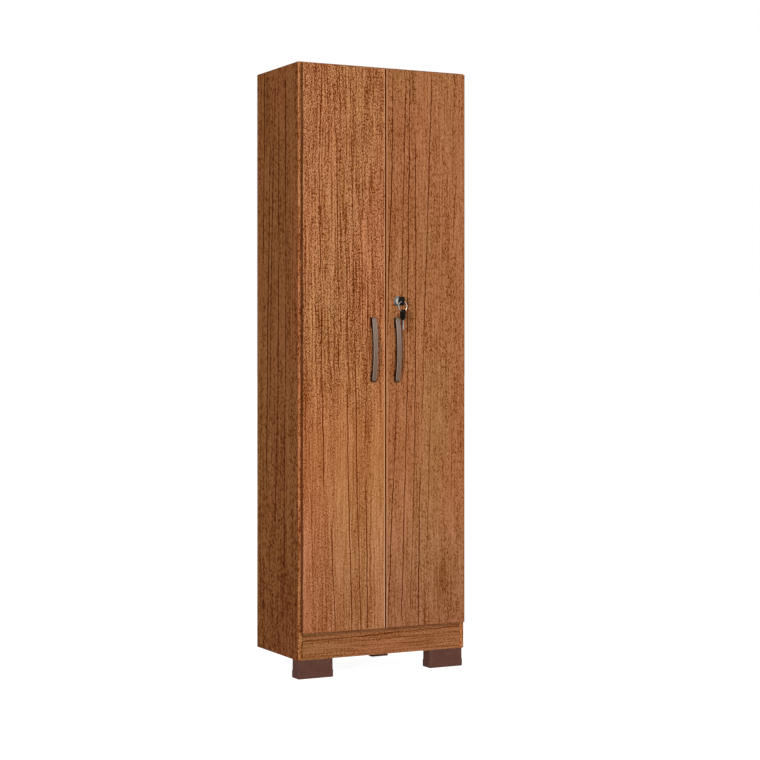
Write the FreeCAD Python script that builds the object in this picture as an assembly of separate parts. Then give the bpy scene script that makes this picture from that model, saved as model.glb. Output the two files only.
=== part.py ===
import FreeCAD, Part
import math, os

# Broom cupboard with two overlaid doors: a laminated board carcass on four moulded feet, with a top
# compartment, a tall broom bay on the left and shelves on the right. Sizes are millimetres. +Z is up,
# +X is right and the doors face -Y. The origin is the middle of the whole footprint, on the floor.

vector = FreeCAD.Vector
along_x, along_y, along_z = vector(1, 0, 0), vector(0, 1, 0), vector(0, 0, 1)

# ---- Carcass ----
overall_width = 500.0
carcass_height = 1580.0
carcass_depth = 272.0
board = 12.0
plinth_height = 70.0
plinth_setback = 2.0
top_bay_height = 206.0
shelf_names = ("lower", "middle", "upper")
shelf_setback = 20.0
shelf_end_gap = 0.5
back_sheet = 3.0
back_rebate_width = 6.0
back_edge_gap = 0.4
strip_flange = 1.0
strip_flange_width = 20.0
strip_web = 2.0

# ---- Feet ----
foot_height = 50.0
foot_length = 100.0
front_foot_depth = 40.0
rear_foot_length = 50.0
rear_foot_depth = 20.0
front_foot_inset = 3.0          # from the side's outer face
rear_foot_inset = 107.0
front_foot_setback = 1.5        # behind the plinth's face
foot_flare = 1.5                # the sole stands out by this all round
foot_flare_height = 20.0
foot_wall = 3.0
foot_floor = 4.0
foot_corner = 1.5
sole_corner = 3.5
sole_edge = 2.5
flare_round_share = 0.9         # of the flare, for the round under the foot's upper part
foot_rib = 2.5
foot_rib_count = 2
foot_screw_pitch = 32.0
tongue_length = 64.0
rear_tongue_length = 44.0
tongue_thickness = 4.0
tongue_rise = 34.0

# ---- Doors ----
door_thickness = 15.0
door_standoff = 3.0             # from the door's back to the carcass front
door_side_reveal = 6.0
door_top_reveal = 5.0
door_bottom_lap = 9.0           # over the bottom board's front edge
door_centre_gap = 3.0
door_edge_round = 1.0

# ---- Pulls ----
pull_length = 172.0
pull_width = 13.3
pull_projection = 20.5
pull_end_projection = 9.5
pull_bar = 9.0
pull_opening = 127.0            # at the door
pull_shoulder = 12.0            # height in which the opening reaches its full depth
pull_shoulder_round = 8.0
left_pull_from_centre = 39.0
right_pull_from_centre = 32.0
pull_middle_height = 871.0
pull_round = 2.5
pull_end_round = 4.0
pull_screw_pitch = 160.0
pull_screw_radius = 2.0
pull_screw_bite = 9.0

# ---- Cup hinges ----
hinge_count = 3
hinge_end_distance = 100.0      # from the door's ends
pin_inset = 6.5                 # from the door's outer edge
pin_depth = 8.5                 # in front of the door's back
pin_radius = 1.0
pin_length = 17.0
pin_fit = 0.05
eye_radius = 2.2
cup_radius = 17.5
cup_edge_distance = 3.0
cup_depth = 12.0
cup_floor = 0.8
cup_fit = 0.05
cup_plate = 1.2
cup_plate_margin = 1.5
cup_ear_length = 62.0
cup_ear_width = 15.0
cup_ear_corner = 5.0
cup_screw_pitch = 48.0
cup_pocket_width = 13.0
pocket_clearance = 0.5
arm_strip = 2.0
arm_width = 12.0
arm_reach = 13.0                # from the pin to the gooseneck's outer run
arm_neck_behind = 8.0           # how far the outer run goes past the carcass front
arm_length = 58.0               # behind the carcass front
arm_flange = 1.5                # side walls of the arm's channel, round its plate
arm_flange_gap = 0.3
plate_height = 4.0
plate_length = 46.0
plate_start = 14.0
plate_wing = 2.0
plate_wing_length = 14.0
plate_wing_span = 44.0
plate_wing_corner = 4.5
plate_screw_pitch = 32.0
plate_screw_setback = 37.0      # behind the carcass front
arm_screw_margin = 11.0         # from the plate's rear end
arm_screw_bite = 5.5
cup_screw_bite = 11.0

# ---- Lock, keys and ring ----
lock_from_centre = 38.0
lock_above_pull = 44.0          # from the pull's top to the lock's axis
rim_radius = 13.0
rim_thickness = 3.0
rim_round = 1.5
barrel_radius = 9.0
barrel_length = 28.0            # behind the door's front face
barrel_fit = 0.05
nut_across_flats = 22.0
nut_sides = 6
nut_thickness = 5.0
plug_radius = 6.0
plug_recess = 0.5
plug_fit = 0.05
tenon_side = 6.0
tenon_fit = 0.1
cam_gap = 0.3
cam_thickness = 2.0
cam_width = 13.0
cam_length = 28.0
cam_screw_head = 4.5
cam_screw_head_height = 2.0
cam_screw_round = 0.7
cam_screw_radius = 1.5
cam_screw_bite = 4.0
keyway_clearance = 0.3
key_blade_thickness = 2.0
key_blade_width = 7.5
key_blade_length = 26.0
key_blade_seat = 3.5            # where the blade leaves the head, in front of the door
key_neck_length = 4.5
key_neck_width = 11.0
key_bow_length = 24.0
key_bow_width = 23.0
key_bow_thickness = 6.0
key_bow_corner = 7.0
key_tang_length = 10.0
key_head_round = 1.0
key_hole_radius = 3.0
key_hole_from_end = 5.2
key_bit_depths = (1.0, 1.6, 0.8, 1.4)
key_point_length = 2.5
key_point_width = 2.5
ring_radius = 13.1
ring_wire_radius = 0.9
ring_sag = 1.0                  # wire below a hole's centre, so that it lies near the hole's wall

# ---- Keeper on the divider ----
keeper_sheet = 1.5
keeper_reach = 14.0
keeper_depth = 22.0
keeper_height = 40.0
keeper_cam_gap = 1.3
keeper_screw_pitch = 24.0
keeper_screw_margin = 6.6       # from the leaf's rear edge

# ---- Slide bolt behind the left door ----
bolt_from_centre = 20.0
bolt_radius = 3.0
bolt_fit = 0.05
bolt_setback = 11.0             # from the door's back to the bolt's axis
bolt_travel = 10.0
bolt_tip_gap = 2.0              # below the top board when drawn
bolt_housing_width = 14.0
bolt_housing_depth = 16.0
bolt_housing_height = 44.0
bolt_plate = 2.0
bolt_plate_height = 64.0
bolt_knob_radius = 3.0
bolt_knob_reach = 8.0
bolt_slot_gap = 0.4
bolt_socket_gap = 0.8
bolt_screw_margin = 6.0
bolt_plate_corner = 3.0
bolt_housing_corner = 1.5
bolt_chamfer = 1.0

# ---- Fasteners ----
wood_screw_radius = 1.8
wood_screw_head = 3.6
wood_screw_head_height = 1.8
wood_screw_bite = 9.0
screw_hole_gap = 0.05
cam_lock_radius = 7.5
cam_lock_height = 9.5
cam_lock_fit = 0.05
cam_lock_from_end = 24.0        # from the board's end to the cam's centre
cam_lock_slot = 1.6
cam_lock_slot_length = 10.5
cam_bolt_radius = 3.0
cam_bolt_bite = 8.0
cam_front_setback = 40.0
cam_rear_setback = 60.0
dowel_radius = 3.0
dowel_face_depth = 8.0
dowel_edge_depth = 12.0
dowel_spacing = 34.0
fit_gap = 0.05
pin_shank_radius = 2.5
pin_shank_length = 8.0
pin_ledge_length = 7.0
pin_ledge_width = 8.0
pin_ledge_thickness = 2.0
pin_front_setback = 37.0
pin_hole_pitch = 32.0           # spare holes above and below each pin
pin_hole_spares = 2
nail_radius = 0.8
nail_head_radius = 2.4
nail_head_height = 0.6
nail_length = 14.0
nail_places = (70.0, 200.0)     # from the middle of the back
side_nail_count = 7             # up each side
side_nail_margin = 35.0         # from the side's ends

# ---- Making ----
overrun = 1.0                   # how far a cutter runs past the face that it opens
place_tolerance = 0.01          # for finding an edge or a face by its place or direction

# ---- Heights ----
overall_height = foot_height + carcass_height
bottom_board_low = foot_height + plinth_height
bottom_board_high = bottom_board_low + board
top_board_low = overall_height - board
fixed_shelf_high = top_board_low - top_bay_height
fixed_shelf_low = fixed_shelf_high - board
door_low = bottom_board_high - door_bottom_lap
door_high = overall_height - door_top_reveal
lock_height = pull_middle_height + pull_length / 2 + lock_above_pull

# ---- Widths ----
half_width = overall_width / 2
inner_half = half_width - board
half_board = board / 2
door_outer = half_width - door_side_reveal
door_inner = door_centre_gap / 2
pin_x = door_outer - pin_inset
left_pull_x, right_pull_x = -left_pull_from_centre, right_pull_from_centre

# ---- Depths: the keys and the pulls stand furthest forward ----
key_hole_proud = key_blade_seat + key_neck_length + key_bow_length - key_hole_from_end
front_reach = max(key_hole_proud + key_bow_width / 2, pull_projection)
carcass_front = (door_standoff + door_thickness + front_reach - carcass_depth) / 2
carcass_rear = carcass_front + carcass_depth
back_rear = carcass_rear - strip_flange
back_front = back_rear - back_sheet
door_back = carcass_front - door_standoff
door_front = door_back - door_thickness
plinth_front = carcass_front + plinth_setback
plinth_rear = plinth_front + board
rail_front = back_front - board
pin_y = door_back - pin_depth

hinge_step = (door_high - door_low - 2 * hinge_end_distance) / (hinge_count - 1)
hinge_heights = [door_low + hinge_end_distance + hinge_step * number for number in range(hinge_count)]
shelf_count = len(shelf_names)
shelf_bay = (fixed_shelf_low - bottom_board_high - shelf_count * board) / (shelf_count + 1)
shelf_lows = [bottom_board_high + shelf_bay + (shelf_bay + board) * number
              for number in range(shelf_count)]


# ---- Shapes ----
def block(x_range, y_range, z_range):
    """Rectangular block between two corners."""
    sides = [high - low for low, high in (x_range, y_range, z_range)]
    return Part.makeBox(*sides, vector(x_range[0], y_range[0], z_range[0]))


def rod(radius, start, end):
    """Round bar between two points."""
    return Part.makeCylinder(radius, (end - start).Length, start, end - start)


def edges_along(shape, direction):
    """Straight edges that run along one axis."""
    straight = [edge for edge in shape.Edges if isinstance(edge.Curve, Part.Line)]
    return [edge for edge in straight
            if edge.tangentAt(edge.FirstParameter).cross(direction).Length < place_tolerance]


def flat_face(shape, direction, place):
    """Face that lies at a place along an axis."""
    for face in shape.Faces:
        box = face.BoundBox
        low, high = vector(box.XMin, box.YMin, box.ZMin), vector(box.XMax, box.YMax, box.ZMax)
        if max(abs(low.dot(direction) - place), abs(high.dot(direction) - place)) < place_tolerance:
            return face
    raise ValueError("no face at that place")


def rounded_block(x_range, y_range, z_range, radius, direction):
    """Block whose four edges along one axis are rounded."""
    body = block(x_range, y_range, z_range)
    return body.makeFillet(radius, edges_along(body, direction))


def group(solids):
    """Separate solids of one node."""
    return solids[0] if len(solids) == 1 else Part.makeCompound(solids)


def other_side(shape):
    """Copy mirrored to the other side of the cupboard."""
    return shape.mirror(vector(0, 0, 0), along_x)


def screw(seat, direction, bite, radius=wood_screw_radius):
    """Pan head screw: the head's underside lies at the seat and the shank goes along direction."""
    shank = rod(radius, seat, seat + direction * bite)
    head = rod(wood_screw_head, seat - direction * wood_screw_head_height, seat)
    rim = [edge for edge in head.Edges if isinstance(edge.Curve, Part.Circle)
           and (seat - edge.CenterOfMass).dot(direction) > wood_screw_head_height / 2]
    return head.makeChamfer(wood_screw_head_height / 2, rim).fuse(shank).removeSplitter()


def screw_hole(seat, direction, bite, radius=wood_screw_radius):
    """Hole for a screw's shank, with a little room round it and past its tip."""
    return rod(radius + screw_hole_gap, seat - direction * overrun, seat + direction * (bite + overrun))


# ---- Where the fasteners go ----
def hinge_plate_seats():
    """Left side: screws of the hinge plates, on the plates' wings."""
    y = carcass_front + plate_screw_setback
    for height in hinge_heights:
        for side in (-1, 1):
            yield vector(-inner_half + plate_wing, y, height + side * plate_screw_pitch / 2)


def cam_stations():
    """Left ends of the boards that cams hold: cam centre, low in each board, and its bolt's height."""
    x = -inner_half + cam_lock_from_end
    for low in (top_board_low, bottom_board_low, fixed_shelf_low):
        for y in (carcass_front + cam_front_setback, carcass_rear - cam_rear_setback):
            yield vector(x, y, low)


def cam_bolt(station):
    """Bolt from the side panel to its cam."""
    height = station.z + half_board
    start = vector(-inner_half - cam_bolt_bite, station.y, height)
    return start, vector(station.x - cam_lock_radius - fit_gap, station.y, height)


def side_dowels():
    """Left side: dowels of the plinth and the rear rail."""
    for y in (plinth_front + half_board, rail_front + half_board):
        for offset in (-1, 1):
            height = foot_height + (plinth_height + offset * dowel_spacing) / 2
            yield (vector(-inner_half - dowel_face_depth, y, height),
                   vector(-inner_half + dowel_edge_depth, y, height))


def divider_dowels():
    """Dowels at the divider's foot and head."""
    for y in (carcass_front + cam_front_setback, carcass_rear - cam_rear_setback):
        yield (vector(0, y, bottom_board_high - dowel_face_depth),
               vector(0, y, bottom_board_high + dowel_edge_depth))
        yield (vector(0, y, fixed_shelf_low + dowel_face_depth),
               vector(0, y, fixed_shelf_low - dowel_edge_depth))


def shelf_pin_seats():
    """Where each loose shelf rests: face of the board, way into the board, y and height."""
    for low in shelf_lows:
        for y in (carcass_front + shelf_setback + pin_front_setback, carcass_rear - cam_rear_setback):
            yield half_board, -1, y, low
            yield inner_half, 1, y, low


def shelf_pin_shank(seat):
    """Ends of a shelf pin's shank, from the board's face to its tip."""
    face, way, y, low = seat
    height = low - pin_ledge_thickness / 2 - pin_shank_radius
    return vector(face, y, height), vector(face + way * pin_shank_length, y, height)


def shelf_pin_bores(side):
    """Bores of one board for its shelf pins, with spare ones above and below each."""
    bores = []
    for seat in shelf_pin_seats():
        if seat[1] == side:
            for number in range(-pin_hole_spares, pin_hole_spares + 1):
                lift = along_z * pin_hole_pitch * number
                start, tip = shelf_pin_shank(seat)
                bores += rods_for([(start + lift, tip + lift)], pin_shank_radius, fit_gap)
    return bores


def rods_for(spans, radius, gap=0.0):
    """Bars along spans, each longer by the gap at both ends."""
    bars = []
    for start, end in spans:
        extra = (end - start).normalize() * gap
        bars.append(rod(radius + gap, start - extra, end + extra))
    return bars


# ---- Carcass pieces ----
def side_panel():
    """Left side with a rebate for the back and bores for its fasteners."""
    panel = block((-half_width, -inner_half), (carcass_front, carcass_rear), (foot_height, overall_height))
    rebate = block((-inner_half - back_rebate_width, -inner_half), (back_front, carcass_rear),
                   (foot_height, overall_height))
    bores = [screw_hole(seat, -along_x, wood_screw_bite) for seat in hinge_plate_seats()]
    bores += rods_for([cam_bolt(station) for station in cam_stations()], cam_bolt_radius, fit_gap)
    bores += rods_for(side_dowels(), dowel_radius, fit_gap)
    bores += rods_for(side_nail_spans(), nail_radius, screw_hole_gap)
    return panel.cut(rebate).cut(bores)


def side_panel_right():
    """Right side: as the left one, with bores for the shelf pins."""
    return other_side(side_panel()).cut(shelf_pin_bores(1))


def cammed_board(low, front, extra_bores):
    """Board between the sides, held by cams let into its underside."""
    panel = block((-inner_half, inner_half), (front, back_front), (low, low + board))
    bores = []
    for station in cam_stations():
        if abs(station.z - low) < half_board:
            pocket = rod(cam_lock_radius + cam_lock_fit, station - along_z * overrun,
                         station + along_z * (cam_lock_height + 2 * cam_lock_fit))
            shaft = rods_for([cam_bolt(station)], cam_bolt_radius, fit_gap)[0]
            bores += [pocket, shaft, other_side(pocket), other_side(shaft)]
    for nail in rods_for(back_nail_spans(), nail_radius, screw_hole_gap):
        bores += [nail, other_side(nail)]
    return panel.cut(bores + extra_bores)


def divider_panel():
    """Upright between the broom bay and the shelves."""
    panel = block((-half_board, half_board), (carcass_front, back_front),
                  (bottom_board_high, fixed_shelf_low))
    bores = rods_for(divider_dowels(), dowel_radius, fit_gap) + shelf_pin_bores(-1)
    bores += [screw_hole(seat, -along_x, wood_screw_bite) for seat in keeper_seats()]
    return panel.cut(bores)


def cross_rail(front, seats, way):
    """Upright board between the sides at the feet, bored for the feet's screws."""
    panel = block((-inner_half, inner_half), (front, front + board), (foot_height, bottom_board_low))
    bores = rods_for(side_dowels(), dowel_radius, fit_gap)
    bores += [other_side(bore) for bore in bores]
    bores += [screw_hole(seat, way, wood_screw_bite + tongue_thickness) for seat in seats]
    return panel.cut(bores)


def loose_shelf(low):
    """Shelf that lies on four pins."""
    return block((half_board + shelf_end_gap, inner_half - shelf_end_gap),
                 (carcass_front + shelf_setback, back_front - shelf_end_gap), (low, low + board))


def back_sheet_left():
    """Hardboard sheet in the left side's rebate, up to the joining strip."""
    outer = inner_half + back_rebate_width - back_edge_gap
    sheet = block((-outer, -strip_web / 2), (back_front, back_rear),
                  (foot_height + back_edge_gap, overall_height - back_edge_gap))
    return sheet.cut(rods_for(back_nail_spans() + side_nail_spans(), nail_radius, screw_hole_gap))


def back_strip():
    """Strip of T section: its web stands between the sheets and its flange covers the joint."""
    heights = (foot_height + back_edge_gap, overall_height - back_edge_gap)
    web = block((-strip_web / 2, strip_web / 2), (back_front, back_rear), heights)
    flange = block((-strip_flange_width / 2, strip_flange_width / 2), (back_rear, carcass_rear), heights)
    return web.fuse(flange).removeSplitter()


def nail_span(x, height):
    """Nail from its head's seat on the back forwards."""
    return vector(x, back_rear, height), vector(x, back_rear - nail_length, height)


def back_nail_spans():
    """Left sheet: nails into the top, bottom and fixed boards."""
    return [nail_span(-place, low + half_board)
            for low in (top_board_low, bottom_board_low, fixed_shelf_low) for place in nail_places]


def side_nail_spans():
    """Left sheet: nails up the side's rebate."""
    step = (overall_height - foot_height - 2 * side_nail_margin) / (side_nail_count - 1)
    return [nail_span(-inner_half - back_rebate_width / 2, foot_height + side_nail_margin + step * number)
            for number in range(side_nail_count)]


def back_nails():
    """Flat headed nails that hold the back sheets."""
    nails = []
    for start, end in back_nail_spans() + side_nail_spans():
        head = rod(nail_head_radius, start, start + along_y * nail_head_height)
        nail = rod(nail_radius, start, end).fuse(head).removeSplitter()
        nails += [nail, other_side(nail)]
    return group(nails)


# ---- Feet ----
def foot(x_range, y_range, tongue_low, tongue_width):
    """Moulded foot: an open-topped shell with a flared sole, ribs and a tongue behind its board."""
    upper = rounded_block(x_range, y_range, (foot_flare_height / 2, foot_height), foot_corner, along_z)
    sole = rounded_block((x_range[0] - foot_flare, x_range[1] + foot_flare),
                         (y_range[0] - foot_flare, y_range[1] + foot_flare), (0, foot_flare_height),
                         sole_corner, along_z)
    sole = sole.makeFillet(sole_edge, flat_face(sole, along_z, 0).Edges)
    sole = sole.makeFillet(foot_flare * flare_round_share, flat_face(sole, along_z, foot_flare_height).Edges)
    hollow = block((x_range[0] + foot_wall, x_range[1] - foot_wall),
                   (y_range[0] + foot_wall, y_range[1] - foot_wall), (foot_floor, foot_height))
    shell = upper.fuse(sole).cut(hollow)
    ribs = []
    length, middle = x_range[1] - x_range[0], sum(x_range) / 2
    for number in range(foot_rib_count):
        x = x_range[0] + length * (number + 1) / (foot_rib_count + 1)
        rib = block((x - foot_rib / 2, x + foot_rib / 2), y_range, (foot_floor / 2, foot_height))
        ribs.append(rib.common(upper))
    tongue = block((middle - tongue_width / 2, middle + tongue_width / 2),
                   (tongue_low, tongue_low + tongue_thickness), (foot_floor / 2, foot_height + tongue_rise))
    return shell.fuse(ribs + [tongue]).removeSplitter()


def foot_screw_seats(middle, y):
    """Screw seats on a foot's tongue."""
    height = foot_height + tongue_rise / 2
    return [vector(middle + side * foot_screw_pitch / 2, y, height) for side in (-1, 1)]


front_foot_x = -half_width + front_foot_inset
rear_foot_x = -half_width + rear_foot_inset
front_foot_y = plinth_front + front_foot_setback
front_seats = foot_screw_seats(front_foot_x + foot_length / 2, plinth_rear + tongue_thickness)
rear_seats = foot_screw_seats(rear_foot_x + rear_foot_length / 2, rail_front - tongue_thickness)


def front_foot():
    """Left front foot, under the plinth and the side."""
    body = foot((front_foot_x, front_foot_x + foot_length), (front_foot_y, front_foot_y + front_foot_depth),
                plinth_rear, tongue_length)
    return body.cut([screw_hole(seat, -along_y, tongue_thickness) for seat in front_seats])


def rear_foot():
    """Left rear foot, shorter, under the rear rail."""
    body = foot((rear_foot_x, rear_foot_x + rear_foot_length), (back_front - rear_foot_depth, back_front),
                rail_front - tongue_thickness, rear_tongue_length)
    return body.cut([screw_hole(seat, along_y, tongue_thickness) for seat in rear_seats])


def foot_screws():
    """Screws through the feet's tongues."""
    bite = tongue_thickness + wood_screw_bite
    screws = [screw(seat, -along_y, bite) for seat in front_seats]
    screws += [screw(seat, along_y, bite) for seat in rear_seats]
    return group(screws + [other_side(piece) for piece in screws])


# ---- Doors ----
def pull_screw_heights():
    """Heights of a pull's two screws."""
    return [pull_middle_height + side * pull_screw_pitch / 2 for side in (-1, 1)]


def door(x_range):
    """Plain door board with rounded edges on its front."""
    panel = block(x_range, (door_front, door_back), (door_low, door_high))
    return panel.makeFillet(door_edge_round, flat_face(panel, along_y, door_front).Edges)


def hinge_bores():
    """Left door: cups and cup screws."""
    bores = []
    for height in hinge_heights:
        centre = vector(cup_centre_x, door_back, height)
        bores.append(rod(cup_radius + cup_fit, centre + along_y * overrun,
                         centre - along_y * (cup_depth + cup_fit)))
        bores += [screw_hole(seat, -along_y, cup_screw_bite) for seat in cup_screw_seats(height)]
    return bores


def pull_bores(pull_x):
    """Holes through a door for its pull's screws."""
    return [screw_hole(vector(pull_x, door_back, height), -along_y, door_thickness, pull_screw_radius)
            for height in pull_screw_heights()]


def door_left():
    """Left door, also bored for the slide bolt's screws."""
    bores = [screw_hole(seat, -along_y, wood_screw_bite) for seat in bolt_screw_seats()]
    return door((-door_outer, -door_inner)).cut(hinge_bores() + pull_bores(left_pull_x) + bores)


def door_right():
    """Right door, also bored for the lock."""
    centre = vector(lock_from_centre, door_front, lock_height)
    lock_bore = rod(barrel_radius + barrel_fit, centre - along_y * overrun,
                    centre + along_y * (door_thickness + overrun))
    bores = [other_side(bore) for bore in hinge_bores()] + pull_bores(right_pull_x)
    return door((door_inner, door_outer)).cut(bores + [lock_bore])


def pull_arc_proud(inward, height):
    """How far the pull's arc, or one that lies inward of it, stands out from the door."""
    half, rise = pull_length / 2, pull_projection - pull_end_projection
    radius = (half ** 2 + rise ** 2) / (2 * rise)
    return pull_projection - radius + math.sqrt((radius - inward) ** 2 - height ** 2)


def pull(centre_x):
    """Arched bar whose two feet stand on the door, with a finger opening that starts in a shoulder."""
    def point(proud, height):
        return vector(centre_x - pull_width / 2, door_front - proud, pull_middle_height + height)

    half, gap = pull_length / 2, pull_opening / 2
    shoulder = gap - pull_shoulder
    shoulder_proud = pull_arc_proud(pull_bar, shoulder)
    outline = Part.Wire([
        Part.makeLine(point(0, -half), point(pull_end_projection, -half)),
        Part.Arc(point(pull_end_projection, -half), point(pull_projection, 0),
                 point(pull_end_projection, half)).toShape(),
        Part.makeLine(point(pull_end_projection, half), point(0, half)),
        Part.makeLine(point(0, half), point(0, gap)),
        Part.makeLine(point(0, gap), point(shoulder_proud, shoulder)),
        Part.Arc(point(shoulder_proud, shoulder), point(pull_projection - pull_bar, 0),
                 point(shoulder_proud, -shoulder)).toShape(),
        Part.makeLine(point(shoulder_proud, -shoulder), point(0, -gap)),
        Part.makeLine(point(0, -gap), point(0, -half))])
    bar = Part.Face(outline).extrude(vector(pull_width, 0, 0))
    raised = [edge for edge in edges_along(bar, along_x)
              if edge.CenterOfMass.y < door_front - pull_end_projection / 2]
    shoulders = [edge for edge in raised if abs(edge.CenterOfMass.z - pull_middle_height) < gap]
    bar = bar.makeFillet(pull_shoulder_round, shoulders)
    ends = [edge for edge in edges_along(bar, along_x)
            if abs(abs(edge.CenterOfMass.z - pull_middle_height) - half) < place_tolerance
            and edge.CenterOfMass.y < door_front - pull_end_projection / 2]
    bar = bar.makeFillet(pull_end_round, ends)
    long_edges = [edge for edge in bar.Edges if edge.CenterOfMass.y < door_front - pull_round
                  and edge.BoundBox.XLength < place_tolerance
                  and edge.BoundBox.YMin < door_front - pull_end_projection / 2]
    bar = bar.makeFillet(pull_round, long_edges)
    return bar.cut([screw_hole(vector(centre_x, door_front, height), -along_y, pull_screw_bite,
                               pull_screw_radius) for height in pull_screw_heights()])


def pull_screws(centre_x):
    """A pull's screws, put in from the door's back."""
    bite = door_thickness + pull_screw_bite
    return group([screw(vector(centre_x, door_back, height), -along_y, bite, pull_screw_radius)
                  for height in pull_screw_heights()])


# ---- Hinges, left side ----
cup_centre_x = -door_outer + cup_edge_distance + cup_radius


def cup_screw_seats(height):
    """Screw seats on a cup's ears."""
    return [vector(cup_centre_x, door_back + cup_plate, height + side * cup_screw_pitch / 2)
            for side in (-1, 1)]


def hinge_cup(height):
    """Cup let into the door, with its plate on the door's back and a pocket that the arm turns in."""
    centre = vector(cup_centre_x, door_back, height)
    cup = rod(cup_radius, centre - along_y * cup_depth, centre)
    plate = rod(cup_radius + cup_plate_margin, centre, centre + along_y * cup_plate)
    ears = rounded_block((cup_centre_x - cup_ear_width / 2, cup_centre_x + cup_ear_width / 2),
                         (door_back, door_back + cup_plate),
                         (height - cup_ear_length / 2, height + cup_ear_length / 2),
                         cup_ear_corner, along_y)
    pocket = block((-pin_x - eye_radius - pocket_clearance,
                    -pin_x + arm_reach + arm_strip + pocket_clearance),
                   (door_back - cup_depth + cup_floor, door_back + cup_plate),
                   (height - cup_pocket_width / 2, height + cup_pocket_width / 2))
    half_pin = pin_length / 2 + pin_fit
    pin_bore = rod(pin_radius + pin_fit, vector(-pin_x, pin_y, height - half_pin),
                   vector(-pin_x, pin_y, height + half_pin))
    holes = [screw_hole(seat, -along_y, cup_plate) for seat in cup_screw_seats(height)]
    return cup.fuse([plate, ears]).removeSplitter().cut([pocket, pin_bore] + holes)


def hinge_pins():
    """Left door's hinge pins."""
    return group([rod(pin_radius, vector(-pin_x, pin_y, height - pin_length / 2),
                      vector(-pin_x, pin_y, height + pin_length / 2)) for height in hinge_heights])


def cup_screws():
    """Left door's cup screws."""
    seats = [seat for height in hinge_heights for seat in cup_screw_seats(height)]
    return group([screw(seat, -along_y, cup_screw_bite) for seat in seats])


def hinge_arm(height):
    """Gooseneck arm: an eye on the pin, a bend out of the cup and a run back along its plate."""
    low = height - arm_width / 2
    plate_top = -inner_half + plate_height
    neck = -pin_x + arm_reach
    neck_end = carcass_front + arm_neck_behind
    slope = neck - plate_top
    route = [vector(-pin_x, pin_y - arm_strip / 2, low), vector(neck + arm_strip, pin_y - arm_strip / 2, low),
             vector(neck + arm_strip, neck_end, low),
             vector(plate_top + arm_strip, neck_end + slope, low),
             vector(plate_top + arm_strip, carcass_front + arm_length, low)]
    strip = Part.makePolygon(route).makeOffset2D(-arm_strip, 2, True, True).extrude(vector(0, 0, arm_width))
    centre = vector(-pin_x, pin_y, low)
    eye = rod(eye_radius, centre, centre + along_z * arm_width)
    bore = rod(pin_radius + pin_fit, centre - along_z * overrun, centre + along_z * (arm_width + overrun))
    hole = screw_hole(arm_screw_seat(height), -along_x, arm_strip)
    return strip.fuse([eye] + arm_flanges(height)).removeSplitter().cut([bore, hole])


def arm_flanges(height):
    """Side walls that make the arm's rear run a channel over its plate."""
    inner = arm_width / 2 + arm_flange_gap
    x_range = (-inner_half + plate_wing + arm_flange_gap, -inner_half + plate_height + arm_strip)
    y_range = (carcass_front + plate_start, carcass_front + arm_length)
    web = block((-inner_half + plate_height, x_range[1]), y_range,
                (height - inner - arm_flange, height + inner + arm_flange))
    walls = [block(x_range, y_range, sorted((height + side * inner, height + side * (inner + arm_flange))))
             for side in (-1, 1)]
    return [web] + walls


def arm_screw_seat(height):
    """Seat of the screw that holds an arm to its plate."""
    return vector(-inner_half + plate_height + arm_strip,
                  carcass_front + plate_start + plate_length - arm_screw_margin, height)


def hinge_plate(height):
    """Mounting plate on the side's inner face: a raised bar with two screw wings."""
    start = carcass_front + plate_start
    bar = block((-inner_half, -inner_half + plate_height), (start, start + plate_length),
                (height - arm_width / 2, height + arm_width / 2))
    middle = carcass_front + plate_screw_setback
    wings = rounded_block((-inner_half, -inner_half + plate_wing),
                          (middle - plate_wing_length / 2, middle + plate_wing_length / 2),
                          (height - plate_wing_span / 2, height + plate_wing_span / 2),
                          plate_wing_corner, along_x)
    holes = [screw_hole(seat, -along_x, plate_wing) for seat in hinge_plate_seats()
             if abs(seat.z - height) < plate_screw_pitch]
    holes.append(screw_hole(arm_screw_seat(height), -along_x, arm_strip + plate_height))
    return bar.fuse(wings).removeSplitter().cut(holes)


def hinge_screws():
    """Screws of the plates and arms on both sides."""
    screws = [screw(seat, -along_x, wood_screw_bite) for seat in hinge_plate_seats()]
    screws += [screw(arm_screw_seat(height), -along_x, arm_screw_bite) for height in hinge_heights]
    return group(screws + [other_side(piece) for piece in screws])


# ---- Lock ----
lock_axis = vector(lock_from_centre, door_front, lock_height)
barrel_rear = door_front + barrel_length
cam_front = barrel_rear + cam_gap
cam_rear = cam_front + cam_thickness
plug_front = door_front - rim_thickness + plug_recess


def on_lock(y, x=0.0, z=0.0):
    """Point near the lock's axis."""
    return vector(lock_from_centre + x, y, lock_height + z)


def lock_housing():
    """Barrel through the door with a domed rim on its front."""
    rim = rod(rim_radius, on_lock(door_front - rim_thickness), on_lock(door_front))
    rim = rim.makeFillet(rim_round, flat_face(rim, along_y, door_front - rim_thickness).Edges)
    barrel = rod(barrel_radius, on_lock(door_front), on_lock(barrel_rear))
    bore = rod(plug_radius + plug_fit, on_lock(door_front - rim_thickness - overrun),
               on_lock(barrel_rear + overrun))
    return rim.fuse(barrel).cut(bore)


def lock_nut():
    """Hexagon nut behind the door."""
    reach = nut_across_flats / 2 / math.cos(math.pi / nut_sides)
    corners = []
    for number in range(nut_sides):
        angle = 2 * math.pi * number / nut_sides
        corners.append(on_lock(door_back, reach * math.cos(angle), reach * math.sin(angle)))
    nut = Part.Face(Part.makePolygon(corners + corners[:1])).extrude(along_y * nut_thickness)
    return nut.cut(rod(barrel_radius + barrel_fit, on_lock(door_back - overrun),
                       on_lock(door_back + nut_thickness + overrun)))


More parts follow.
